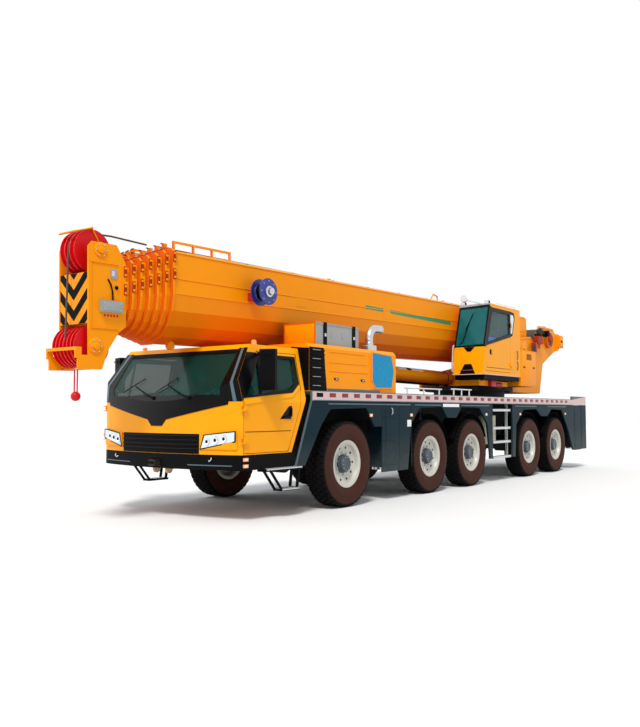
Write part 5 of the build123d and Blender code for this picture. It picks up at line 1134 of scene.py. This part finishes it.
grip = ((1.428, 2.76), (1.440, 2.78), (1.440, 2.83), (1.428, 2.85))
leaf.pipe([(OP_FRONT - 0.34, y, z) for y, z in grip], 0.007, STEEL, 8)
leaf.box((OP_FRONT - 0.72, OP_SIDE, 2.46), (1.18, 0.003, 0.008), BLACK)
leaf.done()
pane = Shape("operator_door_glass", "operator_cab_door", OP_SIDE_GLASS)
pane.slab(side_on(((-0.14, 2.95), (-0.41, 3.715), (-1.329, 3.715), (-1.329, 3.19)), 1.398, OP_FRONT),
          (0, 0.004, 0), OP_SIDE_GLASS)
pane.done()

# ---------------------------------------------------------------- turntable, winch and rear
works = Shape("turntable_works", "superstructure", ORANGE, BRICK, BLACK, HOSE, STEEL, BRICK_DARK, LENS, ROPE)
works.pipe([parting, leave], ROPE_R, ROPE, 8)
for sign in (1, -1):
    y = sign * 0.6705
    # stiffeners along the cheek's edges, pivot cap with its bolts, gearbox bolts
    edge = ((-8.02, 2.62), (-8.80, 3.36), (-9.58, 3.44), (-9.95, 3.26), (-10.26, 3.78), (-11.24, 3.78))
    for ends in zip(edge, edge[1:]):
        works.pipe(side_on(ends, y), 0.013, ORANGE, 8)
    works.lathe([(0.17, 0), (0.17, 0.012), (0.15, 0.022), (0.08, 0.022), (0.07, 0.045), (0.0, 0.048)],
                (PIVOT.x, y, PIVOT.z), (0, sign, 0), ORANGE, 40)
    works.bolts((PIVOT.x, y + sign * 0.02, PIVOT.z), (0, sign, 0), 0.12, 10,
                [(0.014, 0), (0.011, 0.014)], STEEL)
    works.lathe([(0.185, 0), (0.185, 0.016), (0.15, 0.030), (0.10, 0.030), (0.09, 0.055), (0.0, 0.060)],
                (DRUM.x, sign * 0.76, DRUM.z), (0, sign, 0), BRICK_DARK, 40)
    works.bolts((DRUM.x, sign * 0.7605, DRUM.z), (0, sign, 0), 0.205, 12, [(0.013, 0), (0.011, 0.012)], STEEL)
    # hydraulic motor, valve block and its hoses behind the boom's foot
    works.rod((FX - 10.45, sign * 0.70, 3.62), (FX - 10.45, sign * 0.86, 3.62), 0.085, BLACK, 24, 0.01)
    works.box((FX - 9.98, sign * 0.745, 3.41), (0.36, 0.14, 0.20), BRICK_DARK, 0.012)
    works.box((FX - 9.98, sign * 0.745, 3.545), (0.28, 0.10, 0.07), BLACK, 0.008)
    works.box((FX - 9.72, sign * 0.735, 3.20), (0.10, 0.12, 0.26), BRICK, 0.01)
    for k in range(6):
        x = FX - 9.85 - 0.05 * k
        works.pipe([(x, sign * 0.745, 3.50), (x + 0.01, sign * 0.76, 3.66 - 0.012 * k),
                    (x - 0.20, sign * 0.765, 3.74 - 0.02 * k), (x - 0.42, sign * 0.76, 3.68 - 0.03 * k),
                    (FX - 10.42, sign * (0.74 + 0.02 * k), 3.60)], 0.016, HOSE, 8)
    for k in range(4):
        z = 3.34 - 0.045 * k
        works.pipe([(FX - 9.86, sign * 0.75, z), (FX - 9.55, sign * 0.78, z - 0.10),
                    (FX - 9.35, sign * 0.76, z - 0.42), (FX - 9.10 + 0.06 * k, sign * 0.70, z - 0.80)],
                   0.016, HOSE, 8)
    works.box((FX - 11.57, sign * 0.799, 3.48), (0.24, 0.008, 0.27), ORANGE, 0.003)
    works.box((FX - 11.57, sign * 0.805, 3.48), (0.12, 0.008, 0.05), BLACK, 0.003)
    works.box((FX - 11.72, sign * 0.74, 3.335), (0.05, 0.10, 0.05), BLACK, 0.006)
# slewing ring bolts, and the lines, valve and motor on the arm below the cab
works.bolts((FX - 7.3, 0, 2.101), UP, 1.0, 36, [(0.018, 0), (0.014, 0.016)], STEEL, turn=pi / 36)
for k in range(3):
    works.pipe([(FX - 5.40 - 0.05 * k, 0.90, 2.14 + 0.05 * k), (FX - 5.75, 1.0 + 0.05 * k, 2.16 + 0.04 * k),
                (FX - 6.7, 1.0 + 0.04 * k, 2.155 + 0.04 * k), (FX - 7.05, 0.85, 2.15)], 0.018,
               BRICK if k == 1 else HOSE, 8)
works.box((FX - 5.95, 1.205, 2.13), (0.26, 0.14, 0.14), BRICK, 0.015)
works.rod((FX - 6.55, 1.14, 2.115), (FX - 6.25, 1.14, 2.115), 0.075, BRICK, 24, 0.012)
# door of the box beside the boom's foot, its catches, vents and grab rail, and the aerial
works.box((FX - 7.6, 1.424, 2.52), (0.84, 0.010, 0.78), ORANGE, 0.004)
for x in (-7.88, -7.30):
    works.box((FX + x, 1.434, 2.55), (0.10, 0.014, 0.03), BLACK, 0.004)
for k in range(6):
    works.box((FX - 7.6, 1.431, 2.74 + 0.024 * k), (0.30, 0.006, 0.010), BLACK)
works.pipe(side_on(((-7.25, 2.955), (-7.25, 3.05), (-7.85, 3.05), (-7.85, 2.955)), 1.10), 0.012, BLACK, 8)
works.pipe([(FX - 11.42, 0.50, 3.60), (FX - 11.44, 0.50, 3.99), (DECK_X[0] - 0.02, 0.50, 3.995)],
           0.006, LENS, 8)
works.done()

rope = Shape("winch_rope", "winch_drum", ROPE, BLACK)
wraps = []
for k in range(45):
    wraps += [(0.3015, -0.545 + 0.0242 * k), (0.3120, -0.533 + 0.0242 * k)]
rope.lathe([(0.3012, -0.548)] + wraps + [(0.3012, 0.548)], DRUM, ALONG_Y, ROPE, 64)
for sign in (1, -1):
    rope.bolts((DRUM.x, sign * 0.574, DRUM.z), (0, -sign, 0), 0.345, 12, [(0.014, 0), (0.012, 0.006)], BLACK)
rope.done()

# luffing cylinder: end cap, port lines and blank pale band
BARREL_R = 0.1605
barrel = Shape("luff_barrel_trim", "luff_barrel", WHITE, BLACK, BRICK_DARK)
foot, eye = Vector((FX - 6.3, 0, 2.27)), boom(8.0, 0, -0.65)
along = (eye - foot).normalized()


def on_barrel(x, angle, radius):
    """A point round the luffing cylinder; the angle is from its top towards the left."""
    middle_line = foot + along * ((x - foot.x) / along.x)
    return middle_line + Vector((0, radius * sin(angle), radius * cos(angle)))


arc = [radians(18 + 7 * k) for k in range(6)]
for x0, x1, finish in ((-0.07, -0.42, WHITE), (-0.42, -0.62, BLACK), (-0.62, -1.13, WHITE)):
    barrel.ribbon([on_barrel(x0, a, BARREL_R) for a in arc], [on_barrel(x1, a, BARREL_R) for a in arc],
                  (0, 0.0005, 0.002), finish)
barrel_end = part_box("luff_barrel")[1].x
for x, r in ((barrel_end - 0.05, 0.168), (barrel_end - 0.28, 0.166), (foot.x + 0.35, 0.166)):
    barrel.lathe([(0.161, -0.02), (r, -0.016), (r, 0.016), (0.161, 0.02)], on_barrel(x, 0, 0), along,
                 BRICK_DARK, 40)
for y in (-0.10, 0.10):
    start, end = on_barrel(foot.x + 0.35, 0, 0), on_barrel(barrel_end - 0.28, 0, 0)
    side_by = Vector((0, y, -0.145))
    barrel.pipe([start + side_by, start + side_by * 1.12, end + side_by * 1.12, end + side_by],
                0.014, BLACK, 8)
barrel.done()

bpy.ops.mesh.primitive_plane_add(size=160, location=(0, 0, -0.002))
ground = bpy.context.active_object
ground.name = "studio_ground"
ground.data.materials.append(FLOOR)
